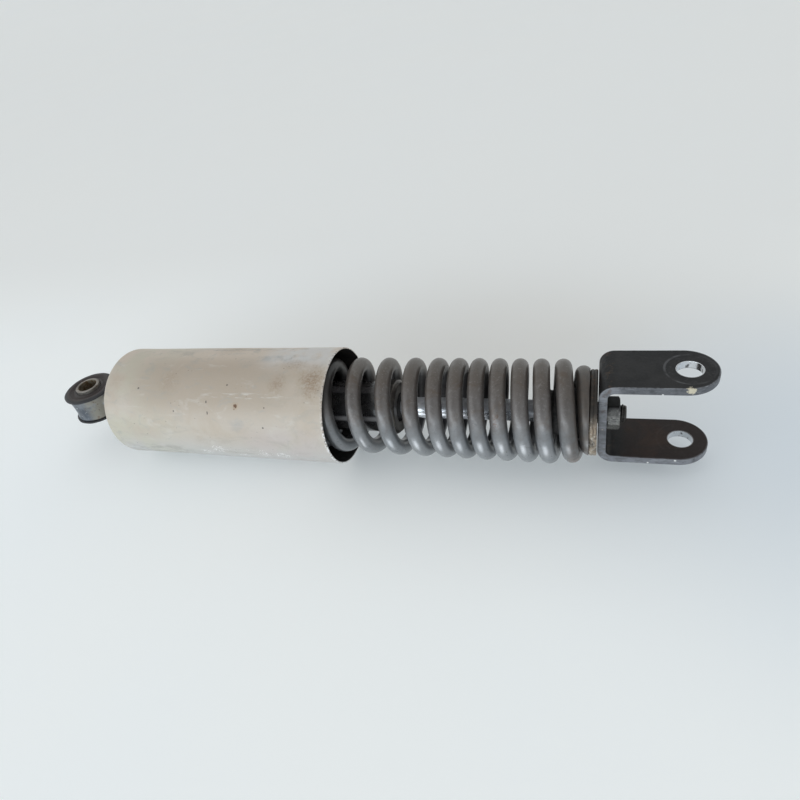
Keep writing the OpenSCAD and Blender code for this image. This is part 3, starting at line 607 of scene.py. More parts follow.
def bush_rubber(name, base, dusty, dust, scale, rough):
    """Rubber of the eye: brown-black face, dusty rubbed lip, grime in the groove by the sleeve."""
    m = Mat(name)
    d = m.noise(scale, 5.0, 0.65, 0.3)
    fine = m.noise(1.6, 4.0, 0.7)
    rad = m.vec("LENGTH", m.combine(m.x, m.y, 0.0))
    col = m.mix(m.mul(m.rng(d, 0.40, 0.68), dust), base, dusty)
    face = m.mul(m.rng(rad, 7.6, 8.6), m.rng(rad, 12.6, 11.4))
    col = m.mix(m.mul(face, 0.75), col, (0.044, 0.033, 0.032))
    lip = m.mul(m.rng(rad, 11.9, 12.7), m.rng(m.noise(0.35, 4.0, 0.65, at=(3, 3, 3)), 0.25, 0.50, 0.6, 1.0))
    col = m.mix(m.mul(lip, 0.9), col, (0.026, 0.027, 0.031))
    col = m.mix(m.rng(fine, 0.58, 0.80, 0.0, 0.4), col, tuple(v * 1.6 for v in dusty))
    crack = m.rng(m.cells(0.8, feature="DISTANCE_TO_EDGE"), 0.035, 0.0)
    col = m.mix(m.mul(crack, 0.25), col, (0.008, 0.008, 0.008))
    m.bump(m.math("SUBTRACT", m.noise(1.1, 4.0), m.mul(crack, 0.3)), 0.35, 0.12)
    return m.finish(col, m.fade(fine, rough - 0.12, rough + 0.14), Specular_IOR_Level=0.42)


def worn_steel(name, light=(0.42, 0.41, 0.39), dark=(0.20, 0.19, 0.18), rust=0.3, rough=(0.28, 0.5), metal=0.9,
               lathe=True, axis="X", stain=(0.11, 0.055, 0.028)):
    """Machined or pressed steel with turning marks, tarnish and some rust."""
    m = Mat(name)
    big = m.noise(0.14, 5.0, 0.62, 0.4)
    fine = m.noise(1.0, 5.0, 0.7)
    col = m.mix(m.rng(big, 0.36, 0.66), light, dark)
    col = m.mix(m.rng(fine, 0.5, 0.8, 0.0, 0.5), col, tuple(min(1, v * 1.35) for v in light))
    r = m.mul(m.rng(m.noise(0.30, 5.0, 0.7, at=(4, 2, 8)), 0.64 - 0.22 * rust, 0.76 - 0.22 * rust), min(1.0, 0.45 + rust))
    col = m.mix(r, col, stain)
    if lathe:
        a, b = (m.y, m.z) if axis == "X" else (m.x, m.y)
        rad = m.vec("LENGTH", m.combine(a, b, 0.0))
        along = m.x if axis == "X" else m.z
        lines = m.noise(3.2, 2.0, 0.5, vec=m.combine(rad, along, 0.0))
        m.bump(lines, 0.18, 0.05)
    m.bump(m.noise(1.0, 4.0, 0.65), 0.25, 0.08)
    ro = m.fade(r, m.fade(fine, rough[0], rough[1]), 0.85)
    return m.finish(col, ro, m.fade(r, metal, 0.1))


def black_tube():
    """Black enamel of the damper tube: faint streaks along it, dust, rubbed spots and two painted highlight lines."""
    m = Mat("damper_black")
    streak = m.noise(0.45, 4.0, 0.6, stretch=(0.08, 1, 1))
    big = m.noise(0.08, 4.0, 0.6)
    col = m.mix(m.rng(big, 0.35, 0.68), (0.012, 0.012, 0.013), (0.026, 0.024, 0.024))
    col = m.mix(m.mul(m.rng(streak, 0.56, 0.76), 0.3), col, (0.060, 0.057, 0.056))
    dust = m.mul(m.rng(m.math("ADD", m.mul(m.z, 0.8), m.mul(m.y, 0.5)), -4.0, 12.0), m.rng(m.noise(0.22, 4.0, 0.6), 0.42, 0.68))
    col = m.mix(m.mul(dust, 0.35), col, (0.062, 0.056, 0.052))
    # painted highlights: a thin light line along the top and a brighter one on the front side
    uneven = m.mul(m.math("SUBTRACT", m.noise(0.25, 4.0, 0.6, stretch=(0.35, 1, 1), at=(3, 6, 2)), 0.5), 0.12)
    top = m.rng(m.math("ADD", m.math("SUBTRACT", m.mul(m.z, 0.984), m.mul(m.y, 0.180)), uneven), 12.07, 12.22)
    col = m.mix(m.mul(top, m.fade(streak, 0.6, 1.0)), col, (0.072, 0.068, 0.071))
    side = m.rng(m.math("ADD", m.math("SUBTRACT", m.mul(m.z, 0.191), m.mul(m.y, 0.981)), uneven), 12.155, 12.27)
    col = m.mix(m.mul(side, m.fade(streak, 0.6, 1.0)), col, (0.215, 0.208, 0.210))
    chip = m.rng(m.noise(1.2, 3.0, 0.6, at=(6, 6, 6)), 0.70, 0.73)
    col = m.mix(m.mul(chip, 0.7), col, (0.17, 0.16, 0.15))
    m.bump(m.noise(0.7, 3.0), 0.12, 0.05)
    return m.finish(col, m.fade(m.most(dust, m.rng(big, 0.4, 0.7)), 0.18, 0.40), Coat_Weight=0.4, Coat_Roughness=0.16)


def gland():
    """Darkened turned steel of the gland cap, oily, with dust in the film and a painted highlight on its front side."""
    m = Mat("gland_cap_dark")
    rad = m.vec("LENGTH", m.combine(m.y, m.z, 0.0))
    big = m.noise(0.2, 4.0, 0.6, 0.5)
    fine = m.noise(1.0, 5.0, 0.7)
    col = m.mix(m.rng(big, 0.36, 0.66), (0.105, 0.096, 0.088), (0.180, 0.164, 0.148))
    # painted highlight: a lighter band on the front side
    col = m.mix(m.mul(m.rng(m.math("SUBTRACT", m.mul(m.z, 0.225), m.mul(m.y, 0.974)), 11.4, 12.9), 0.85), col, (0.36, 0.335, 0.305))
    col = m.mix(m.rng(fine, 0.5, 0.8, 0.0, 0.6), col, (0.25, 0.235, 0.22))
    col = m.mix(m.rng(fine, 0.45, 0.25, 0.0, 0.6), col, (0.028, 0.026, 0.025))
    m.bump(m.noise(3.0, 2.0, 0.5, vec=m.combine(rad, m.x, 0.0)), 0.25, 0.06)
    return m.finish(col, m.fade(fine, 0.25, 0.52), 0.65)


def chrome():
    """Hard chrome of the rod with oil film, specks and fine rub marks along its travel."""
    m = Mat("rod_chrome")
    film = m.noise(0.12, 4.0, 0.6, 0.4, stretch=(0.5, 1, 1))
    fine = m.noise(1.3, 4.0, 0.7)
    col = m.mix(m.rng(film, 0.42, 0.68), (0.74, 0.76, 0.80), (0.52, 0.53, 0.56))
    oil = m.rng(m.noise(0.30, 4.0, 0.6, at=(5, 4, 3)), 0.60, 0.74)
    col = m.mix(m.mul(oil, 0.5), col, (0.26, 0.24, 0.22))
    pit = m.mul(m.rng(m.cells(0.9, at=(1, 2, 3)), 0.12, 0.07), m.rng(m.noise(0.1, 3.0, at=(7, 1, 2)), 0.45, 0.58))
    col = m.mix(m.mul(pit, 0.8), col, (0.10, 0.075, 0.055))
    m.bump(m.noise(0.9, 2.0, 0.5, stretch=(0.10, 1, 1)), 0.06, 0.02)
    dusty = m.mul(m.rng(m.math("ADD", m.mul(m.z, 0.95), m.mul(m.y, 0.2)), 1.2, 3.8), m.rng(m.noise(0.35, 4.0, 0.6, stretch=(0.4, 1, 1), at=(2, 8, 2)), 0.30, 0.56))
    col = m.mix(m.mul(dusty, 0.6), col, (0.40, 0.40, 0.43))
    # the turned thread past the shoulder isn't chromed
    thread = m.rng(m.x, 277.8, 278.3)
    col = m.mix(thread, col, m.mix(m.rng(fine, 0.35, 0.7), (0.050, 0.046, 0.042), (0.120, 0.110, 0.100)))
    ro = m.fade(m.most(m.mul(oil, 0.7), m.rng(film, 0.35, 0.7, 0.0, 0.6)), 0.22, 0.40)
    return m.finish(col, m.fade(thread, m.fade(dusty, ro, 0.55), 0.50), m.fade(thread, m.fade(dusty, 0.92, 0.35), 0.75))


def lower_seat():
    """Turned lower seat: dark oily brown on top, beige caked dirt below with painted light on its underside, rust at
    its edge.
    """
    m = Mat("lower_seat_dirty")
    big = m.noise(0.16, 5.0, 0.65, 0.6)
    fine = m.noise(0.9, 5.0, 0.7)
    col = m.mix(m.rng(big, 0.36, 0.66), (0.019, 0.016, 0.014), (0.038, 0.032, 0.027))
    col = m.mix(m.rng(fine, 0.58, 0.8, 0.0, 0.4), col, (0.17, 0.145, 0.12))
    low = m.rng(m.math("ADD", m.mul(m.z, 0.9), m.mul(m.y, 0.45)), 5.0, -4.0)
    cake = m.mul(low, m.rng(m.noise(0.42, 5.0, 0.7, 0.6, stretch=(1, 0.5, 0.5)), 0.34, 0.56))
    col = m.mix(m.mul(cake, 0.9), col, (0.300, 0.240, 0.180))
    pale = m.mul(low, m.rng(m.noise(0.7, 4.0, 0.7, at=(6, 3, 3)), 0.50, 0.66))
    # pale caked dirt, and painted light making the underside pale
    col = m.mix(m.mul(m.most(pale, m.mul(m.rng(m.z, -7.0, -14.0), 0.75)), 0.85), col, (0.55, 0.520, 0.465))
    rust = m.rng(m.noise(0.5, 5.0, 0.7, at=(9, 3, 1)), 0.56, 0.68)
    col = m.mix(m.mul(rust, 0.7), col, (0.120, 0.060, 0.030))
    m.bump(m.noise(0.9, 5.0, 0.7), 0.55, 0.20)
    return m.finish(col, m.fade(m.most(cake, rust), 0.50, 0.86), m.fade(m.most(cake, rust), 0.45, 0.0))


def zinc_nut():
    """Old zinc on the nut: grimy grey facets with light and dark specks, painted shade on the upper facets, painted
    light on the lower facets, and white bloom.
    """
    m = Mat("nut_zinc_worn")
    big = m.noise(0.28, 5.0, 0.65, 0.5)
    fine = m.noise(1.5, 5.0, 0.7)
    col = m.mix(m.rng(big, 0.36, 0.62), (0.048, 0.046, 0.044), (0.110, 0.106, 0.100))
    col = m.mix(m.rng(fine, 0.52, 0.75, 0.0, 0.7), col, (0.27, 0.265, 0.25))
    col = m.mix(m.rng(fine, 0.46, 0.26, 0.0, 0.8), col, (0.025, 0.023, 0.021))
    # painted shade: the upper facets are darkened
    up = m.rng(m.math("ADD", m.mul(m.z, 0.9), m.mul(m.y, 0.4)), 1.5, 4.5)
    col = m.mix(m.mul(up, 0.9), col, (0.013, 0.012, 0.012))
    # painted light: the lower facets are lightened
    painted_low_light = m.rng(m.math("ADD", m.mul(m.z, 0.9), m.mul(m.y, 0.4)), 1.2, 0.0)
    col = m.mix(m.mul(painted_low_light, m.rng(fine, 0.34, 0.62, 0.05, 0.55)), col, (0.300, 0.295, 0.280))
    bloom = m.mul(m.rng(m.noise(0.9, 5.0, 0.7, at=(2, 7, 4)), 0.54, 0.66), m.inv(up))
    col = m.mix(m.mul(bloom, 0.7), col, (0.38, 0.37, 0.345))
    m.bump(m.noise(1.2, 4.0, 0.65), 0.4, 0.10)
    return m.finish(col, m.fade(fine, 0.38, 0.62), 0.35)


def nylon():
    m = Mat("nylon_aged")
    big = m.noise(0.15, 4.0, 0.6)
    fine = m.noise(1.2, 4.0, 0.7)
    col = m.mix(m.rng(big, 0.36, 0.66), (0.52, 0.47, 0.36), (0.38, 0.32, 0.22))
    col = m.mix(m.rng(fine, 0.5, 0.8, 0.0, 0.6), col, (0.20, 0.16, 0.11))
    m.bump(fine, 0.2, 0.05)
    return m.finish(col, m.fade(fine, 0.42, 0.60), Subsurface_Weight=0.05)


def bronze():
    m = Mat("bearing_bronze")
    big = m.noise(0.2, 4.0, 0.6)
    fine = m.noise(1.2, 4.0, 0.7)
    col = m.mix(m.rng(big, 0.36, 0.66), (0.52, 0.31, 0.14), (0.36, 0.20, 0.09))
    col = m.mix(m.rng(fine, 0.5, 0.8, 0.0, 0.6), col, (0.62, 0.42, 0.22))
    m.bump(fine, 0.2, 0.04)
    return m.finish(col, m.fade(fine, 0.25, 0.45), 0.95)


def sintered():
    m = Mat("sintered_iron")
    pores = m.rng(m.cells(1.6), 0.22, 0.08)
    fine = m.noise(1.6, 4.0, 0.7)
    col = m.mix(m.rng(fine, 0.35, 0.7), (0.20, 0.20, 0.19), (0.31, 0.30, 0.29))
    col = m.mix(m.mul(pores, 0.7), col, (0.05, 0.05, 0.05))
    m.bump(m.inv(pores), 0.35, 0.06)
    return m.finish(col, m.fade(fine, 0.40, 0.60), 0.85)


M_COVER = paint_cover()
M_INSIDE = inside_cover()
M_SPRING = paint_spring()
M_CLEVIS = paint_clevis()
M_EYE = cast_eye()
M_BUSH = bush_rubber("eye_rubber", (0.030, 0.026, 0.026), (0.082, 0.070, 0.068), 0.65, 0.16, 0.50)
M_STOP = rubber("bump_stop_rubber", (0.026, 0.025, 0.025), (0.090, 0.086, 0.082), 0.8, 0.22, 0.60)
M_SEAL = rubber("seal_rubber", (0.018, 0.018, 0.019), (0.050, 0.045, 0.042), 0.5, 0.3, 0.50)
M_SLEEVE = worn_steel("sleeve_steel_worn", (0.310, 0.288, 0.262), (0.175, 0.160, 0.144), 0.35, (0.34, 0.55), 0.8, axis="Z")
M_BORE = worn_steel("sleeve_bore_rusty", (0.19, 0.165, 0.12), (0.105, 0.085, 0.060), 0.9, (0.5, 0.75), 0.5, axis="Z", stain=(0.085, 0.050, 0.022))
M_SEATSTEEL = worn_steel("seat_steel_dark", (0.13, 0.125, 0.12), (0.06, 0.056, 0.053), 0.45, (0.4, 0.6), 0.75)
M_MACHINED = worn_steel("machined_steel_clean", (0.56, 0.56, 0.56), (0.40, 0.40, 0.40), 0.02, (0.22, 0.4), 1.0)
M_TUBE = black_tube()
M_GLAND = gland()
M_CHROME = chrome()
M_LSEAT = lower_seat()
M_NUT = zinc_nut()
M_NYLON = nylon()
M_BRONZE = bronze()
M_SINTER = sintered()


# ---------------------------------------------------------------- camera, floor and light

PHI, RX, RY, RZ, HGT, CX = 0.732, -0.0118, 0.3159, 0.0251, 276.81, 276.95
cam_data = bpy.data.cameras.new("camera")
cam = bpy.data.objects.new("camera", cam_data)
scene.collection.objects.link(cam)
cam_data.sensor_width = 36.0
cam_data.lens = 599.3 * 36.0 / 800.0
cam_data.clip_start, cam_data.clip_end = 0.01, 50.0
sp, cp = math.sin(PHI), math.cos(PHI)
tilt = Matrix(((1, 0, 0), (0, sp, cp), (0, -cp, sp)))
turn = Matrix.Rotation(RZ, 3, "Z") @ Matrix.Rotation(RY, 3, "Y") @ Matrix.Rotation(RX, 3, "X")
flip = Matrix(((1, 0, 0), (0, -1, 0), (0, 0, -1)))
to_cam = flip @ turn @ flip @ tilt
place_cam = to_cam.transposed().to_4x4()
place_cam.translation = Vector((CX, -HGT * cp, HGT * sp)) * MM
cam.matrix_world = place_cam
scene.camera = cam

FLOOR_Z = CAD_BOX[0].z - 0.4 * MM
fm = Mat("floor_pale")
fcol = fm.mix(fm.rng(fm.noise(0.004, 3.0, 0.5), 0.35, 0.7), (0.775, 0.792, 0.80), (0.79, 0.796, 0.788))
# painted shadow: a soft, warm, darker patch on the floor behind the object
warm_painted_shadow = fm.rng(fm.vec("LENGTH", fm.vec("MULTIPLY", fm.vec("SUBTRACT", fm.p, (70.0, 90.0, 0.0)), (0.0031, 0.0054, 0.0))), 1.0, 0.0)
fcol = fm.mix(fm.mul(warm_painted_shadow, fm.fade(fm.noise(0.008, 4.0, 0.6), 0.65, 0.95)), fcol, (0.520, 0.484, 0.440))
# painted shade: the floor darkens towards the back
fcol = fm.mix(fm.rng(fm.y, 30.0, 260.0, 0.0, 0.75), fcol, (0.655, 0.640, 0.618))
# painted shade: a darker, cooler patch on the floor to the right of the object
right = fm.rng(fm.vec("LENGTH", fm.vec("MULTIPLY", fm.vec("SUBTRACT", fm.p, (235.0, 15.0, 0.0)), (0.0058, 0.0062, 0.0))), 1.0, 0.0)
fcol = fm.mix(fm.mul(right, 0.85), fcol, (0.500, 0.552, 0.612))
M_FLOOR = fm.finish(fcol, fm.fade(fm.noise(0.01, 2.0), 0.6, 0.75), Specular_IOR_Level=0.15,
                     Emission_Color=(0.86, 0.95, 1.0), Emission_Strength=0.22)
# one wide level sheet that sweeps up far behind, so no view meets its end
bm = bmesh.new()
bmesh.ops.create_grid(bm, x_segments=12, y_segments=60, size=24.0)
for v in bm.verts:
    v.co.z = max(0.0, v.co.y - 5.0) ** 2 * 0.06
    v.select = False
for f in bm.faces:
    f.smooth = True
fme = bpy.data.meshes.new("floor")
bm.to_mesh(fme)
bm.free()
floor = bpy.data.objects.new("floor", fme)
floor.location = (0.15, 0.0, FLOOR_Z)
fme.materials.append(M_FLOOR)
scene.collection.objects.link(floor)

world = bpy.data.worlds.new("studio")
scene.world = world
world.use_nodes = True


def studio():
    """Soft surroundings: bright and cool low in front, dimmer and warmer behind, darker where a viewer stands."""
    t = world.node_tree
    t.nodes.clear()
    out = t.nodes.new("ShaderNodeOutputWorld")
    bg = t.nodes.new("ShaderNodeBackground")
    t.links.new(bg.outputs[0], out.inputs[0])
    tc = t.nodes.new("ShaderNodeTexCoord")

    def dot(v):
        k = t.nodes.new("ShaderNodeVectorMath")
        k.operation = "DOT_PRODUCT"
        t.links.new(tc.outputs["Generated"], k.inputs[0])
        k.inputs[1].default_value = v
        return k.outputs["Value"]

    def rng(v, a, b, lo, hi):
        k = t.nodes.new("ShaderNodeMapRange")
        k.interpolation_type = "SMOOTHSTEP"
        t.links.new(v, k.inputs["Value"])
        for n, x in (("From Min", a), ("From Max", b), ("To Min", lo), ("To Max", hi)):
            k.inputs[n].default_value = x
        return k.outputs["Result"]

    def mul(a, b):
        k = t.nodes.new("ShaderNodeMath")
        k.operation = "MULTIPLY"
        t.links.new(a, k.inputs[0])
        t.links.new(b, k.inputs[1])
        return k.outputs[0]

    up = dot((0.0, 0.668, 0.744))
    power = mul(mul(rng(up, -0.70, 0.80, FRONT, BACK), rng(dot((0.0, -0.744, 0.668)), 0.80, 0.975, 1.0, HOLE)),
                rng(dot((1.0, 0.0, 0.0)), 0.0, 1.0, 1.0, 0.68))
    mix = t.nodes.new("ShaderNodeMix")
    mix.data_type = "RGBA"
    t.links.new(rng(up, -0.5, 0.7, 0.0, 1.0), mix.inputs[0])
    mix.inputs[6].default_value = (0.86, 0.945, 1.0, 1.0)
    mix.inputs[7].default_value = (0.985, 0.985, 0.965, 1.0)
    t.links.new(mix.outputs[2], bg.inputs[0])
    t.links.new(power, bg.inputs[1])


FRONT, BACK, HOLE = 1.70, 0.68, 0.26
studio()


def soft(name, at, target, size, power, color):
    d = bpy.data.lights.new(name, "AREA")
    d.shape = "RECTANGLE"
    d.size, d.size_y = size
    d.energy = power
    d.color = color
    o = bpy.data.objects.new(name, d)
    scene.collection.objects.link(o)
    o.location = at
    o.rotation_mode = "QUATERNION"
    o.rotation_quaternion = (Vector(target) - Vector(at)).to_track_quat("-Z", "Y")
    return o


soft("window", (-0.25, -1.15, 0.22), (0.18, 0.0, 0.0), (2.0, 0.42), 6.0, (0.86, 0.94, 1.0))
sheen = soft("table_sheen", (0.2240, -0.037, FLOOR_Z + 0.007), (0.2240, 0.630, FLOOR_Z + 0.747), (0.102, 0.016), 0.0020, (0.92, 0.965, 1.0))
sheen.data.spread = math.radians(60)
sheen.visible_camera = False
scene.view_settings.view_transform = "Standard"
scene.view_settings.look = "None"


# ---------------------------------------------------------------- upper eye

def eye():
    verts, faces = [], []

    def lathe(pts, axis, n):
        base = len(verts)
        m = len(pts)
        for i in range(n):
            a = 2 * math.pi * i / n
            for r, t in pts:
                verts.append((t, r * math.cos(a), r * math.sin(a)) if axis == "X" else (r * math.cos(a), r * math.sin(a), t))
        for i in range(n):
            for j in range(m):
                p, q, k = base + i * m, base + ((i + 1) % n) * m, (j + 1) % m
                faces.append((p + j, q + j, q + k, p + k))

    w = 6.7
    ring = filleted([(10.0, -w), (12.85, -w), (13.1, -w + 0.5), (12.5, -w + 2.6), (12.3, 0), (12.5, w - 2.6), (13.1, w - 0.5),
                     (12.85, w), (10.0, w)], 0.35, 3, 0.8)
    lathe(ring, "Z", 128)
    neck = filleted([(0.02, 10.6), (5.9, 10.6), (6.1, 14.6), (7.2, 18.0), (8.0, 22.0), (8.25, 27.3), (9.6, 29.0), (11.5, 29.6),
                     (11.9, 30.3), (11.9, 31.6), (0.02, 31.6)], 0.9, 4, 0.9)
    lathe(neck, "X", 80)
    ob = mesh_object("eye_casting", verts, faces, [M_EYE], sharp=60, weld=0.03)
    r = ob.modifiers.new("remesh", "REMESH")
    r.mode = "VOXEL"
    r.voxel_size = 0.42 * MM
    r.use_smooth_shade = True
    s = ob.modifiers.new("smooth", "SMOOTH")
    s.factor, s.iterations = 0.5, 5
    settle(ob)
    # small dents and flow lines of a forging
    for v in ob.data.vertices:
        p = v.co / MM
        d = noise.noise(p * 0.22) * 0.10 + noise.noise(p * 0.7 + Vector((5, 5, 5))) * 0.035
        v.co += v.normal * (d * MM)
    ob.data.materials.clear()
    ob.data.materials.append(M_EYE)
    for p in ob.data.polygons:
        p.use_smooth = True
        p.material_index = 0
    return place(ob, "damper_body", "upper_eye")


eye()

W = 6.7
SR = 6.6


def bush_push(r, t, a):
    k = ease((r - 9.5) / 3.5)
    d = noise.noise(Vector((math.cos(a) * 2.2, math.sin(a) * 2.2, t * 0.2))) * 0.12 * k
    return r + d * (1 if r > 13 else 0.3), t + (0.10 * noise.noise(Vector((math.cos(a) * 3, math.sin(a) * 3, 4 + r * 0.3)))) * k * (1 if abs(t) > 6.5 else 0)


place(turned("eye_bush", [
    (SR + 0.06, -W - 1.25), (SR + 1.4, -W - 1.25, 0.5), (SR + 2.3, -W - 0.5, 0.5), (SR + 3.3, -W - 0.5, 0.5), (SR + 4.5, -W - 1.45, 0.9),
    (12.9, -W - 1.45, 1.1), (14.0, -W - 0.9, 0.5), (14.05, -W - 0.3, 0.25), (13.7, -W, 0.1), (10.02, -W, 0.1), (10.02, W, 0.1),
    (13.7, W, 0.1), (14.05, W + 0.3, 0.25), (14.0, W + 0.9, 0.5), (12.9, W + 1.45, 1.1), (SR + 4.5, W + 1.45, 0.9),
    (SR + 3.3, W + 0.5, 0.5), (SR + 2.3, W + 0.5, 0.5), (SR + 1.4, W + 1.25, 0.5), (SR + 0.06, W + 1.25)],
    [M_BUSH], axis="Z", n=128, default=0.45, seg=4, longest=1.0, push=bush_push),
    "damper_body", "eye_rubber_bush")

place(turned("eye_sleeve", [
    (5.1, -9.68, 0.25), (SR, -9.68, 0.3), (SR, 9.68, 0.3), (5.1, 9.68, 0.35)],
    [M_SLEEVE, M_BORE], axis="Z", n=96, default=0.3, seg=4, longest=1.2,
    mat_of=lambda p, q: 1 if (p[0] + q[0]) / 2 < 5.25 else 0),
    "eye_sleeve", "eye_inner_sleeve")


# ---------------------------------------------------------------- cover

def cover():
    rim_x, r1, t = 158.4, 29.05, 0.9
    out = [(8.05, 31.7)]
    for k in range(13):
        a = math.pi / 2 * k / 12
        out.append((23.3 + 5.2 * math.sin(a), 35.1 - 3.4 * math.cos(a)))
    slope = (r1 - 0.1 - 28.5) / (158.0 - 35.1)
    x = 35.1
    while x < 156.0:
        x += 2.0
        out.append((28.5 + slope * (x - 35.1), x))
    out += [(r1 - 0.10, 157.7), (r1 - 0.12, 158.05), (r1 - 0.26, 158.32), (r1 - 0.48, rim_x), (r1 - 0.72, 158.32), (r1 - 0.88, 158.05)]
    x = 157.0
    while x > 36.6:
        out.append((28.5 - t + slope * (x - 35.1), x))
        x -= 2.0
    for k in range(12, -1, -1):
        a = math.pi / 2 * k / 12
        out.append((23.3 + 4.3 * math.sin(a), 35.1 - 2.5 * math.cos(a)))
    out.append((8.05, 32.6))

    def push(r, x, a):
        far = ease((x - 34.0) / 12.0)
        near = ease((x - 120.0) / 38.0)
        d = noise.noise(Vector((x * 0.022, math.cos(a) * 0.9, math.sin(a) * 0.9))) * 0.16 * far
        d += noise.noise(Vector((x * 0.05, math.cos(a) * 2.4 + 7, math.sin(a) * 2.4))) * 0.07 * far
        # rim knocked slightly out of round
        d += near * 0.10 * math.sin(2 * a + 0.6) + near * near * 0.05 * math.sin(5 * a + 1.0)
        dx = 0.0
        if x > 157.6:
            dx = 0.10 * noise.noise(Vector((math.cos(a) * 5, math.sin(a) * 5, 2.0)))
            d += 0.05 * noise.noise(Vector((math.cos(a) * 9, math.sin(a) * 9, 5.0)))
        if d > 0.02 and x > 30:
            d = 0.02 + (d - 0.02) * 0.35
        return r + d - 0.08 * far, x + dx - (0.06 if x > 157.6 else 0)

    half = len(out) // 2
    edge = next(i for i, p in enumerate(out) if p[1] == rim_x)
    order = {}

    def mat_of(p, q):
        mx, mr = (p[1] + q[1]) / 2, (p[0] + q[0]) / 2
        outer = 28.5 + slope * (mx - 35.1)
        if mx < 35.1:
            e = ((max(mr, 23.3) - 23.3) / 5.2) ** 2 + ((35.1 - mx) / 3.4) ** 2
            return 0 if e > 0.80 else 1
        return 0 if mr > outer - 0.62 else 1

    ob = turned("cover_shell", [(p[0], p[1], 0.0) for p in out], [M_COVER, M_INSIDE], n=192, longest=None, push=push, mat_of=mat_of, sharp=50)
    return place(ob, "damper_body", "spring_cover")


cover()


# ---------------------------------------------------------------- spring

WIRE, TOP_X, LOW_X = 3.7, 36.6, 274.4
OPEN, TIGHT = 14.7, 9.4
T0 = 1.3
T1 = T0 + 0.5
T2 = T1 + 5.35
T3 = T2 + 2.9
SXT = LOW_X + 2.8
SX0 = SXT - T0 * 7.15
SX1 = SX0 - 0.5 * 10.4
SX2 = SX1 - 5.35 * TIGHT
SX3 = SX2 - 2.9 * (TIGHT + OPEN) / 2
SX5 = TOP_X - WIRE / 2 + 7.7
SX4 = SX5 + 0.5 * (OPEN + 7.7) / 2
T4 = T3 + (SX3 - SX4) / OPEN
T5 = T4 + 0.5
T6 = T5 + 1.0


def swept(t, n, a, b):
    return a * t + (b - a) * t * t / (2 * n)


def raw_x(t):
    if t < T0:
        return SXT - 7.15 * t
    if t < T1:
        return SX0 - 10.4 * (t - T0)
    if t < T2:
        return SX1 - TIGHT * (t - T1)
    if t < T3:
        return SX2 - swept(t - T2, 2.9, TIGHT, OPEN)
    if t < T4:
        return SX3 - OPEN * (t - T3)
    if t < T5:
        return SX4 - swept(t - T4, 0.5, OPEN, 7.7)
    return SX5 - 7.7 * (t - T5)


def coil_x(t):
    """The wire's place along the axis, with its changes of pitch eased."""
    return sum(raw_x(t + d) for d in (-0.12, -0.06, 0.0, 0.06, 0.12)) / 5


def coil_p(t):
    r = 37.3 / 2 - WIRE + (47 - 37.3) / 2 * ease(t / T1)
    a = math.radians(335.4 - 360 * t)
    x = coil_x(t)
    bow = 0.4 * math.sin(math.pi * max(0.0, min(1.0, (LOW_X - x) / (LOW_X - TOP_X))))
    return Vector((x, r * math.cos(a) + bow * 0.669, r * math.sin(a) + bow * 0.743))


def spring():
    sides, per = 26, 68
    n = int(T6 * per)
    ts = [0.0, 0.0007, 0.0022, 0.005] + [T6 * i / n for i in range(1, n)] + [T6 - 0.005, T6 - 0.0022, T6 - 0.0007, T6]
    fat = [0.90, 0.96, 0.99, 1.0] + [1.0] * (n - 1) + [1.0, 0.99, 0.96, 0.90]
    verts, faces = [], []
    for t, f in zip(ts, fat):
        c = coil_p(t)
        a = math.radians(335.4 - 360 * t)
        er = Vector((0, math.cos(a), math.sin(a)))
        tan = (coil_p(t + 0.001) - coil_p(t - 0.001)).normalized()
        er = (er - tan * er.dot(tan)).normalized()
        b = tan.cross(er)
        for j in range(sides):
            q = 2 * math.pi * (j + 0.5) / sides
            p = c + WIRE * f * (math.cos(q) * er + math.sin(q) * b)
            # hardly visible unevenness of the enamel
            w = noise.noise(Vector((p.x * 0.12, p.y * 0.12, p.z * 0.12))) * 0.03
            p = p + (p - c).normalized() * w
            verts.append((max(TOP_X + 0.01, min(LOW_X - 0.01, p.x)), p.y, p.z))
    k = len(ts)
    for i in range(k - 1):
        for j in range(sides):
            a, b, m = i * sides, (i + 1) * sides, (j + 1) % sides
            faces.append((a + j, b + j, b + m, a + m))
    faces.append(tuple(range(sides)))
    faces.append(tuple((k - 1) * sides + j for j in reversed(range(sides))))
    ob = mesh_object("spring_wire", verts, faces, [M_SPRING], sharp=42)
    place(ob, "damper_body", "coil_spring")
    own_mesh(ob)
    return ob


spring()


# ---------------------------------------------------------------- damper, seats and bump stop

def tube_push(r, x, a):
    return r + 0.02 * noise.noise(Vector((x * 0.05, math.cos(a), math.sin(a)))), x


place(turned("damper_outer", [
    (10.8, 34.85, 0.2), (12.28, 34.85, 0.3), (12.28, 178.2, 0.2), (12.28, 183.95, 0.2), (10.8, 183.95, 0.2)],
    [M_TUBE], n=96, longest=4.0, push=tube_push),
    "damper_body", "damper_tube")

place(turned("gland", [
    (12.34, 179.02, 0.2), (12.75, 179.02, 0.2), (13.15, 179.5, 0.3), (13.15, 180.7, 0.15), (12.95, 180.95, 0.15), (12.95, 181.6, 0.15),
    (13.15, 181.85, 0.15), (13.15, 185.8, 0.8), (11.8, 187.48, 0.6), (7.9, 187.48, 0.3), (7.05, 187.0, 0.3), (7.05, 186.35, 0.1), (9.15, 186.35, 0.1),
    (9.15, 184.05, 0.1), (12.34, 184.05, 0.1)],
    [M_GLAND], n=112),
    "damper_body", "gland_cap")

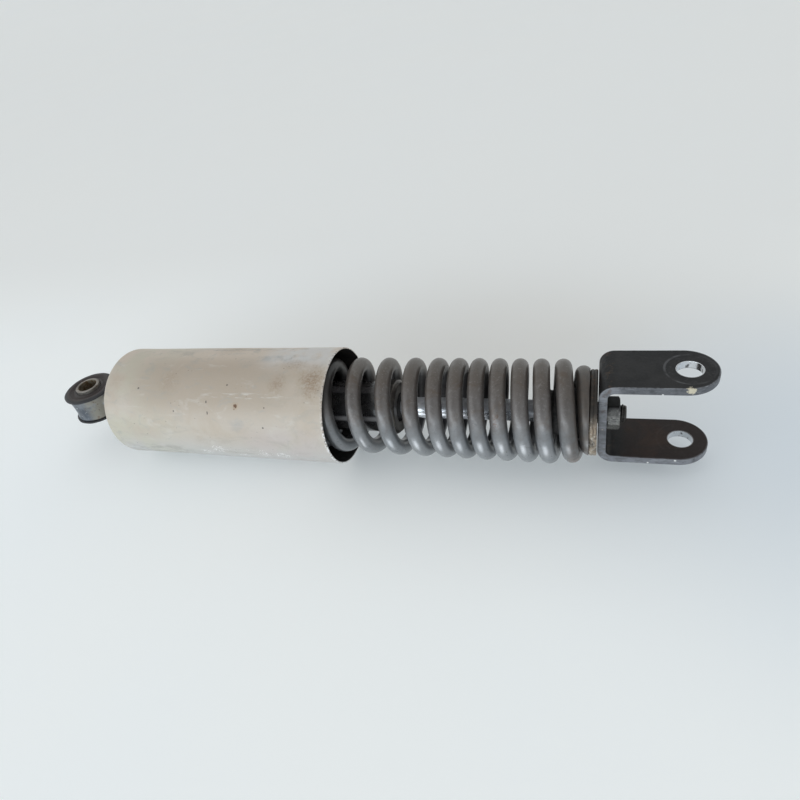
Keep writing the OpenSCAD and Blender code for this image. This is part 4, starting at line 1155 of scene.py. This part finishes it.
place(turned("wiper", [
    (5.06, 188.35, 0.05), (5.5, 188.1, 0.15), (6.1, 186.9, 0.3), (6.9, 186.3, 0.3), (9.1, 186.28, 0.1), (9.1, 184.15, 0.1),
    (6.2, 184.15, 0.2), (5.6, 185.5, 0.2), (5.06, 187.7, 0.05)],
    [M_SEAL], n=96),
    "damper_body", "dust_wiper")

place(turned("lower_seat_disc", [
    (5.08, 274.42, 0.1), (18.3, 274.42, 0.2), (18.95, 274.95, 0.35), (18.95, 275.9, 0.12), (18.72, 276.05, 0.1), (18.72, 276.3, 0.1),
    (18.95, 276.45, 0.12), (18.95, 277.25, 0.3), (18.5, 277.68, 0.3), (5.08, 277.68, 0.1)],
    [M_LSEAT], n=120),
    "lower_seat", "lower_spring_seat")


def stop_push(r, x, a):
    if r < 6:
        return r, x
    return r + 0.12 * noise.noise(Vector((x * 0.25, math.cos(a) * 1.6, math.sin(a) * 1.6))) - 0.06, x


place(turned("bump_stop_rubber", [
    (5.1, 273.38, 0.1), (9.0, 273.38, 0.3), (9.2, 271.8, 0.5), (10.7, 270.8, 0.8), (10.7, 266.56, 0.9), (9.7, 265.42, 0.9),
    (9.7, 264.66, 0.9), (10.5, 263.52, 0.9), (10.5, 259.72, 0.9), (9.5, 258.58, 0.9), (9.5, 257.82, 0.9), (10.7, 256.68, 0.8),
    (10.7, 255.4, 0.7), (9.7, 254.42, 0.6), (5.1, 254.42, 0.3)],
    [M_STOP], n=112, seg=5, longest=0.9, push=stop_push),
    "lower_seat", "bump_stop")

place(turned("bump_stop_plate", [
    (5.09, 273.42, 0.1), (9.2, 273.42, 0.3), (10.3, 272.02, 0.2), (11.05, 272.02, 0.2), (10.4, 274.1, 0.3), (9.8, 274.38, 0.2), (5.09, 274.38, 0.1)],
    [M_SEATSTEEL], n=96),
    "lower_seat", "bump_stop_cup")


# ---------------------------------------------------------------- rod with its threaded end

def rod():
    n = 64
    prof = [(0.0, 133.8), (3.3, 133.8), (4.0, 134.5)]
    x = 134.5
    line = [(3.3, 133.8), (3.98, 134.5), (3.98, 154.2), (4.6, 154.2), (4.98, 154.6)]
    x = 154.6
    while x < 276.5:
        x += 4.0
        if x < 277.2:
            line.append((4.98, x))
    line += [(4.98, 277.5), (4.6, 277.98), (3.98, 278.0)]
    pitch, steps = 1.25, 12
    x = 278.2
    while x < 289.3:
        line.append((None, x))
        x += pitch / steps
    line += [(3.15, 289.55)]
    verts, faces = [], []
    m = len(line)
    for i in range(n):
        a = 2 * math.pi * i / n
        for r, xx in line:
            if r is None:
                u = ((xx - 278.2) / pitch + a / (2 * math.pi)) % 1.0
                tooth = abs(2 * u - 1)
                tooth = max(0.0, min(1.0, (tooth - 0.12) / 0.76))
                r = 3.98 - 0.62 * (1 - tooth)
                run_in = ease((xx - 278.2) / 0.6)
                out = ease((289.45 - xx) / 1.1)
                r = 3.98 - (3.98 - r) * run_in
                r = min(r, 3.15 + 0.83 * out)
            verts.append((xx, r * math.cos(a), r * math.sin(a)))
    for i in range(n):
        for j in range(m - 1):
            a, b = i * m, ((i + 1) % n) * m
            faces.append((a + j, b + j, b + j + 1, a + j + 1))
    faces.append(tuple(i * m for i in range(n)))
    faces.append(tuple(i * m + m - 1 for i in reversed(range(n))))
    ob = mesh_object("rod", verts, faces, [M_CHROME], sharp=34)
    weighted(ob)
    return place(ob, "rod_assembly", "piston_rod")


rod()


# ---------------------------------------------------------------- clevis

def clevis():
    t, w, hh, bend = 3.5, 12.8, 21.35, 6.3
    base_x, hole_x, arc_x = 278.0, 312.6, 310.9
    yc, zc = 2.8, 1.0
    xb = base_x + bend
    xe = 299.0
    mid_r = bend - t / 2
    verts, norms, faces, key = [], [], [], {}

    def vid(p, nrm):
        k = (round(p[0], 3), round(p[1], 3), round(p[2], 3))
        if k not in key:
            key[k] = len(verts)
            verts.append(Vector(p))
            norms.append(Vector(nrm))
        return key[k]

    m = 12
    ys = [-w, -w + 0.9] + [(-w + 0.9) + (2 * w - 1.8) * i / (m - 2) for i in range(1, m - 2)] + [w - 0.9, w]

    def grid(rows):
        for a, b in zip(rows, rows[1:]):
            for i in range(len(a) - 1):
                faces.append((a[i], b[i], b[i + 1], a[i + 1]))

    def ring_patch(hole_c, hole_r, circles, boundary, to3d, nrm):
        """Quads between a round hole and an outline seen from the hole's centre."""
        hc = Vector(hole_c)
        rings = []
        dirs = [(Vector(q) - hc).normalized() for q in boundary]
        for r in [hole_r] + circles:
            rings.append([vid(to3d(hc + d * r), nrm) for d in dirs])
        last = circles[-1]
        for u in (0.55,):
            rings.append([vid(to3d(hc + d * (last + ((Vector(q) - hc).length - last) * u)), nrm) for d, q in zip(dirs, boundary)])
        rings.append([vid(to3d(Vector(q)), nrm) for q in boundary])
        k = len(boundary)
        for a, b in zip(rings, rings[1:]):
            for i in range(k):
                faces.append((a[i], a[(i + 1) % k], b[(i + 1) % k], b[i]))

    for s in (1, -1):
        zmid = zc + s * (hh - t / 2)
        n3 = (0, 0, s)
        # ear round the bolt hole
        edge = [(xe, y) for y in ys]
        side = [(xe + (arc_x - xe) * k / 6, w) for k in range(1, 7)]
        arc = [(arc_x + w * math.cos(a), w * math.sin(a)) for a in [math.pi / 2 - math.pi * k / 44 for k in range(1, 44)]]
        back = [(arc_x + (xe - arc_x) * k / 6, -w) for k in range(0, 6)]
        ring_patch((hole_x, 0), 5.1, [6.1, 7.6, 9.3, 9.65, 9.9], edge + side + arc + back,
                   lambda q, zm=zmid: (q[0], q[1] + yc, zm), n3)
        # arm
        rows = []
        for k in range(7):
            x = xb + (xe - xb) * k / 6
            rows.append([vid((x, y + yc, zmid), n3) for y in ys])
        grid(rows)
        # bend
        rows = []
        for k in range(13):
            a = math.pi / 2 * k / 12
            nx, nz = -math.sin(a), math.cos(a)
            c = (xb, zc + s * (hh - bend))
            rows.append([vid((c[0] + mid_r * nx, y + yc, c[1] + s * mid_r * nz), (nx, 0, s * nz)) for y in ys])
        grid(rows)
    # base round the rod's hole
    zb = hh - bend
    top = [(y + yc, zc + zb) for y in ys]
    right = [(w + yc, zc + zb - 2 * zb * k / 14) for k in range(1, 14)]
    bot = [(y + yc, zc - zb) for y in reversed(ys)]
    left = [(-w + yc, zc - zb + 2 * zb * k / 14) for k in range(1, 14)]
    ring_patch((0, 0), 4.03, [5.2, 7.2], top + right + bot + left,
               lambda q: (base_x + t / 2, q[0], q[1]), (-1, 0, 0))

    # two faces of the strip and its cut edges
    count = len(verts)
    pts, quads = [], []
    for i, (p, nn) in enumerate(zip(verts, norms)):
        dish = 0.0
        if abs(nn.z) > 0.99:
            d = math.hypot(p.x - hole_x, p.y - yc)
            dish = 0.10 if d < 9.5 else 0.0
        wav = 0.04 * noise.noise(p * 0.08)
        pts.append(p + nn * (t / 2 - dish + min(0.0, wav)))
    for i, (p, nn) in enumerate(zip(verts, norms)):
        pts.append(p - nn * (t / 2))
    uses = {}
    for f in faces:
        quads.append(f)
        quads.append(tuple(count + k for k in reversed(f)))
        for a, b in zip(f, f[1:] + f[:1]):
            uses.setdefault((min(a, b), max(a, b)), []).append((a, b))
    for pair, seen in uses.items():
        if len(seen) == 1:
            a, b = seen[0]
            quads.append((b, a, count + a, count + b))
    ob = mesh_object("clevis_strip", pts, quads, [M_CLEVIS], sharp=50)
    bm = bmesh.new()
    bm.from_mesh(ob.data)
    lay = bm.edges.layers.float.get("bevel_weight_edge") or bm.edges.layers.float.new("bevel_weight_edge")
    for e in bm.edges:
        if len(e.link_faces) == 2 and e.calc_face_angle(0) > math.radians(55):
            mid = (e.verts[0].co + e.verts[1].co) / 2 / MM
            at_bolt = math.hypot(mid.x - hole_x, mid.y - yc) < 6.0
            at_rod = mid.x < 282 and math.hypot(mid.y, mid.z) < 4.5
            e[lay] = 0.22 if (at_bolt or at_rod) else 1.0
    bm.to_mesh(ob.data)
    bm.free()
    bv = ob.modifiers.new("bevel", "BEVEL")
    bv.width = 0.42 * MM
    bv.segments = 3
    bv.limit_method = "WEIGHT"
    bv.harden_normals = False
    settle(ob)
    for p in ob.data.polygons:
        p.use_smooth = True
    weighted(ob, 80)
    return place(ob, "rod_assembly", "clevis")


clevis()


def nut():
    af, x0, h, bore = 13.0, 281.5, 5.4, 3.95
    n = 120
    slope = math.tan(math.radians(60))
    levels = [0.0, 0.04, 0.09, 0.16, 0.25, 0.36, 0.5, 0.7, 1.0, 2.7]
    xs = [l for l in levels] + [h - l for l in reversed(levels[:-1])]
    verts, faces = [], []
    rows = []
    for x in xs:
        row = []
        lim = af / 2 - 0.15 + min(x, h - x) * slope + 0.05
        for i in range(n):
            a = 2 * math.pi * i / n
            phi = (a + math.pi / 6) % (math.pi / 3) - math.pi / 6
            # flats face +Y and -Y in turn with corners on +Z and -Z
            hexr = (af / 2) / math.cos((a % (math.pi / 3)) - math.pi / 6)
            r = min(hexr, lim, af / 2 / math.cos(math.pi / 6) - 0.10)
            row.append((x0 + x, r * math.cos(a + NUT_TURN), r * math.sin(a + NUT_TURN)))
        rows.append(row)
    inner = []
    for x, r in ((h, bore + 0.55), (h - 0.5, bore), (0.5, bore), (0.0, bore + 0.55)):
        inner.append([(x0 + x, r * math.cos(2 * math.pi * i / n + NUT_TURN), r * math.sin(2 * math.pi * i / n + NUT_TURN)) for i in range(n)])
    loops = rows + inner
    for row in loops:
        verts += row
    k = len(loops)
    for i in range(k):
        a, b = i * n, ((i + 1) % k) * n
        for j in range(n):
            m = (j + 1) % n
            faces.append((a + j, a + m, b + m, b + j))
    ob = mesh_object("rod_nut", verts, faces, [M_NUT], sharp=28)
    weighted(ob, 80)
    return place(ob, "rod_assembly", "clevis_nut")


NUT_TURN = 0.0
nut()


# ---------------------------------------------------------------- CAD nodes that stay

def dress(node, mat):
    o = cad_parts[node]
    if not o.material_slots:
        o.data.materials.append(mat)
    for s in o.material_slots:
        s.material = mat


for node, mat in (
        ("upper_spring_seat", M_SEATSTEEL), ("spring_isolator", M_NYLON), ("tube_end_plug", M_MACHINED),
        ("pressure_tube", M_MACHINED), ("foot_valve", M_SINTER), ("foot_valve_bolt", M_MACHINED),
        ("rod_guide", M_SINTER), ("guide_bush", M_BRONZE), ("guide_o_ring", M_SEAL), ("oil_seal", M_SEAL),
        ("piston", M_SINTER), ("piston_ring", M_BRONZE), ("compression_shims", M_MACHINED),
        ("rebound_shims", M_MACHINED), ("piston_nut", M_MACHINED), ("rebound_stop_collar", M_MACHINED),
        ("rebound_stop", M_SEAL)):
    dress(node, mat)
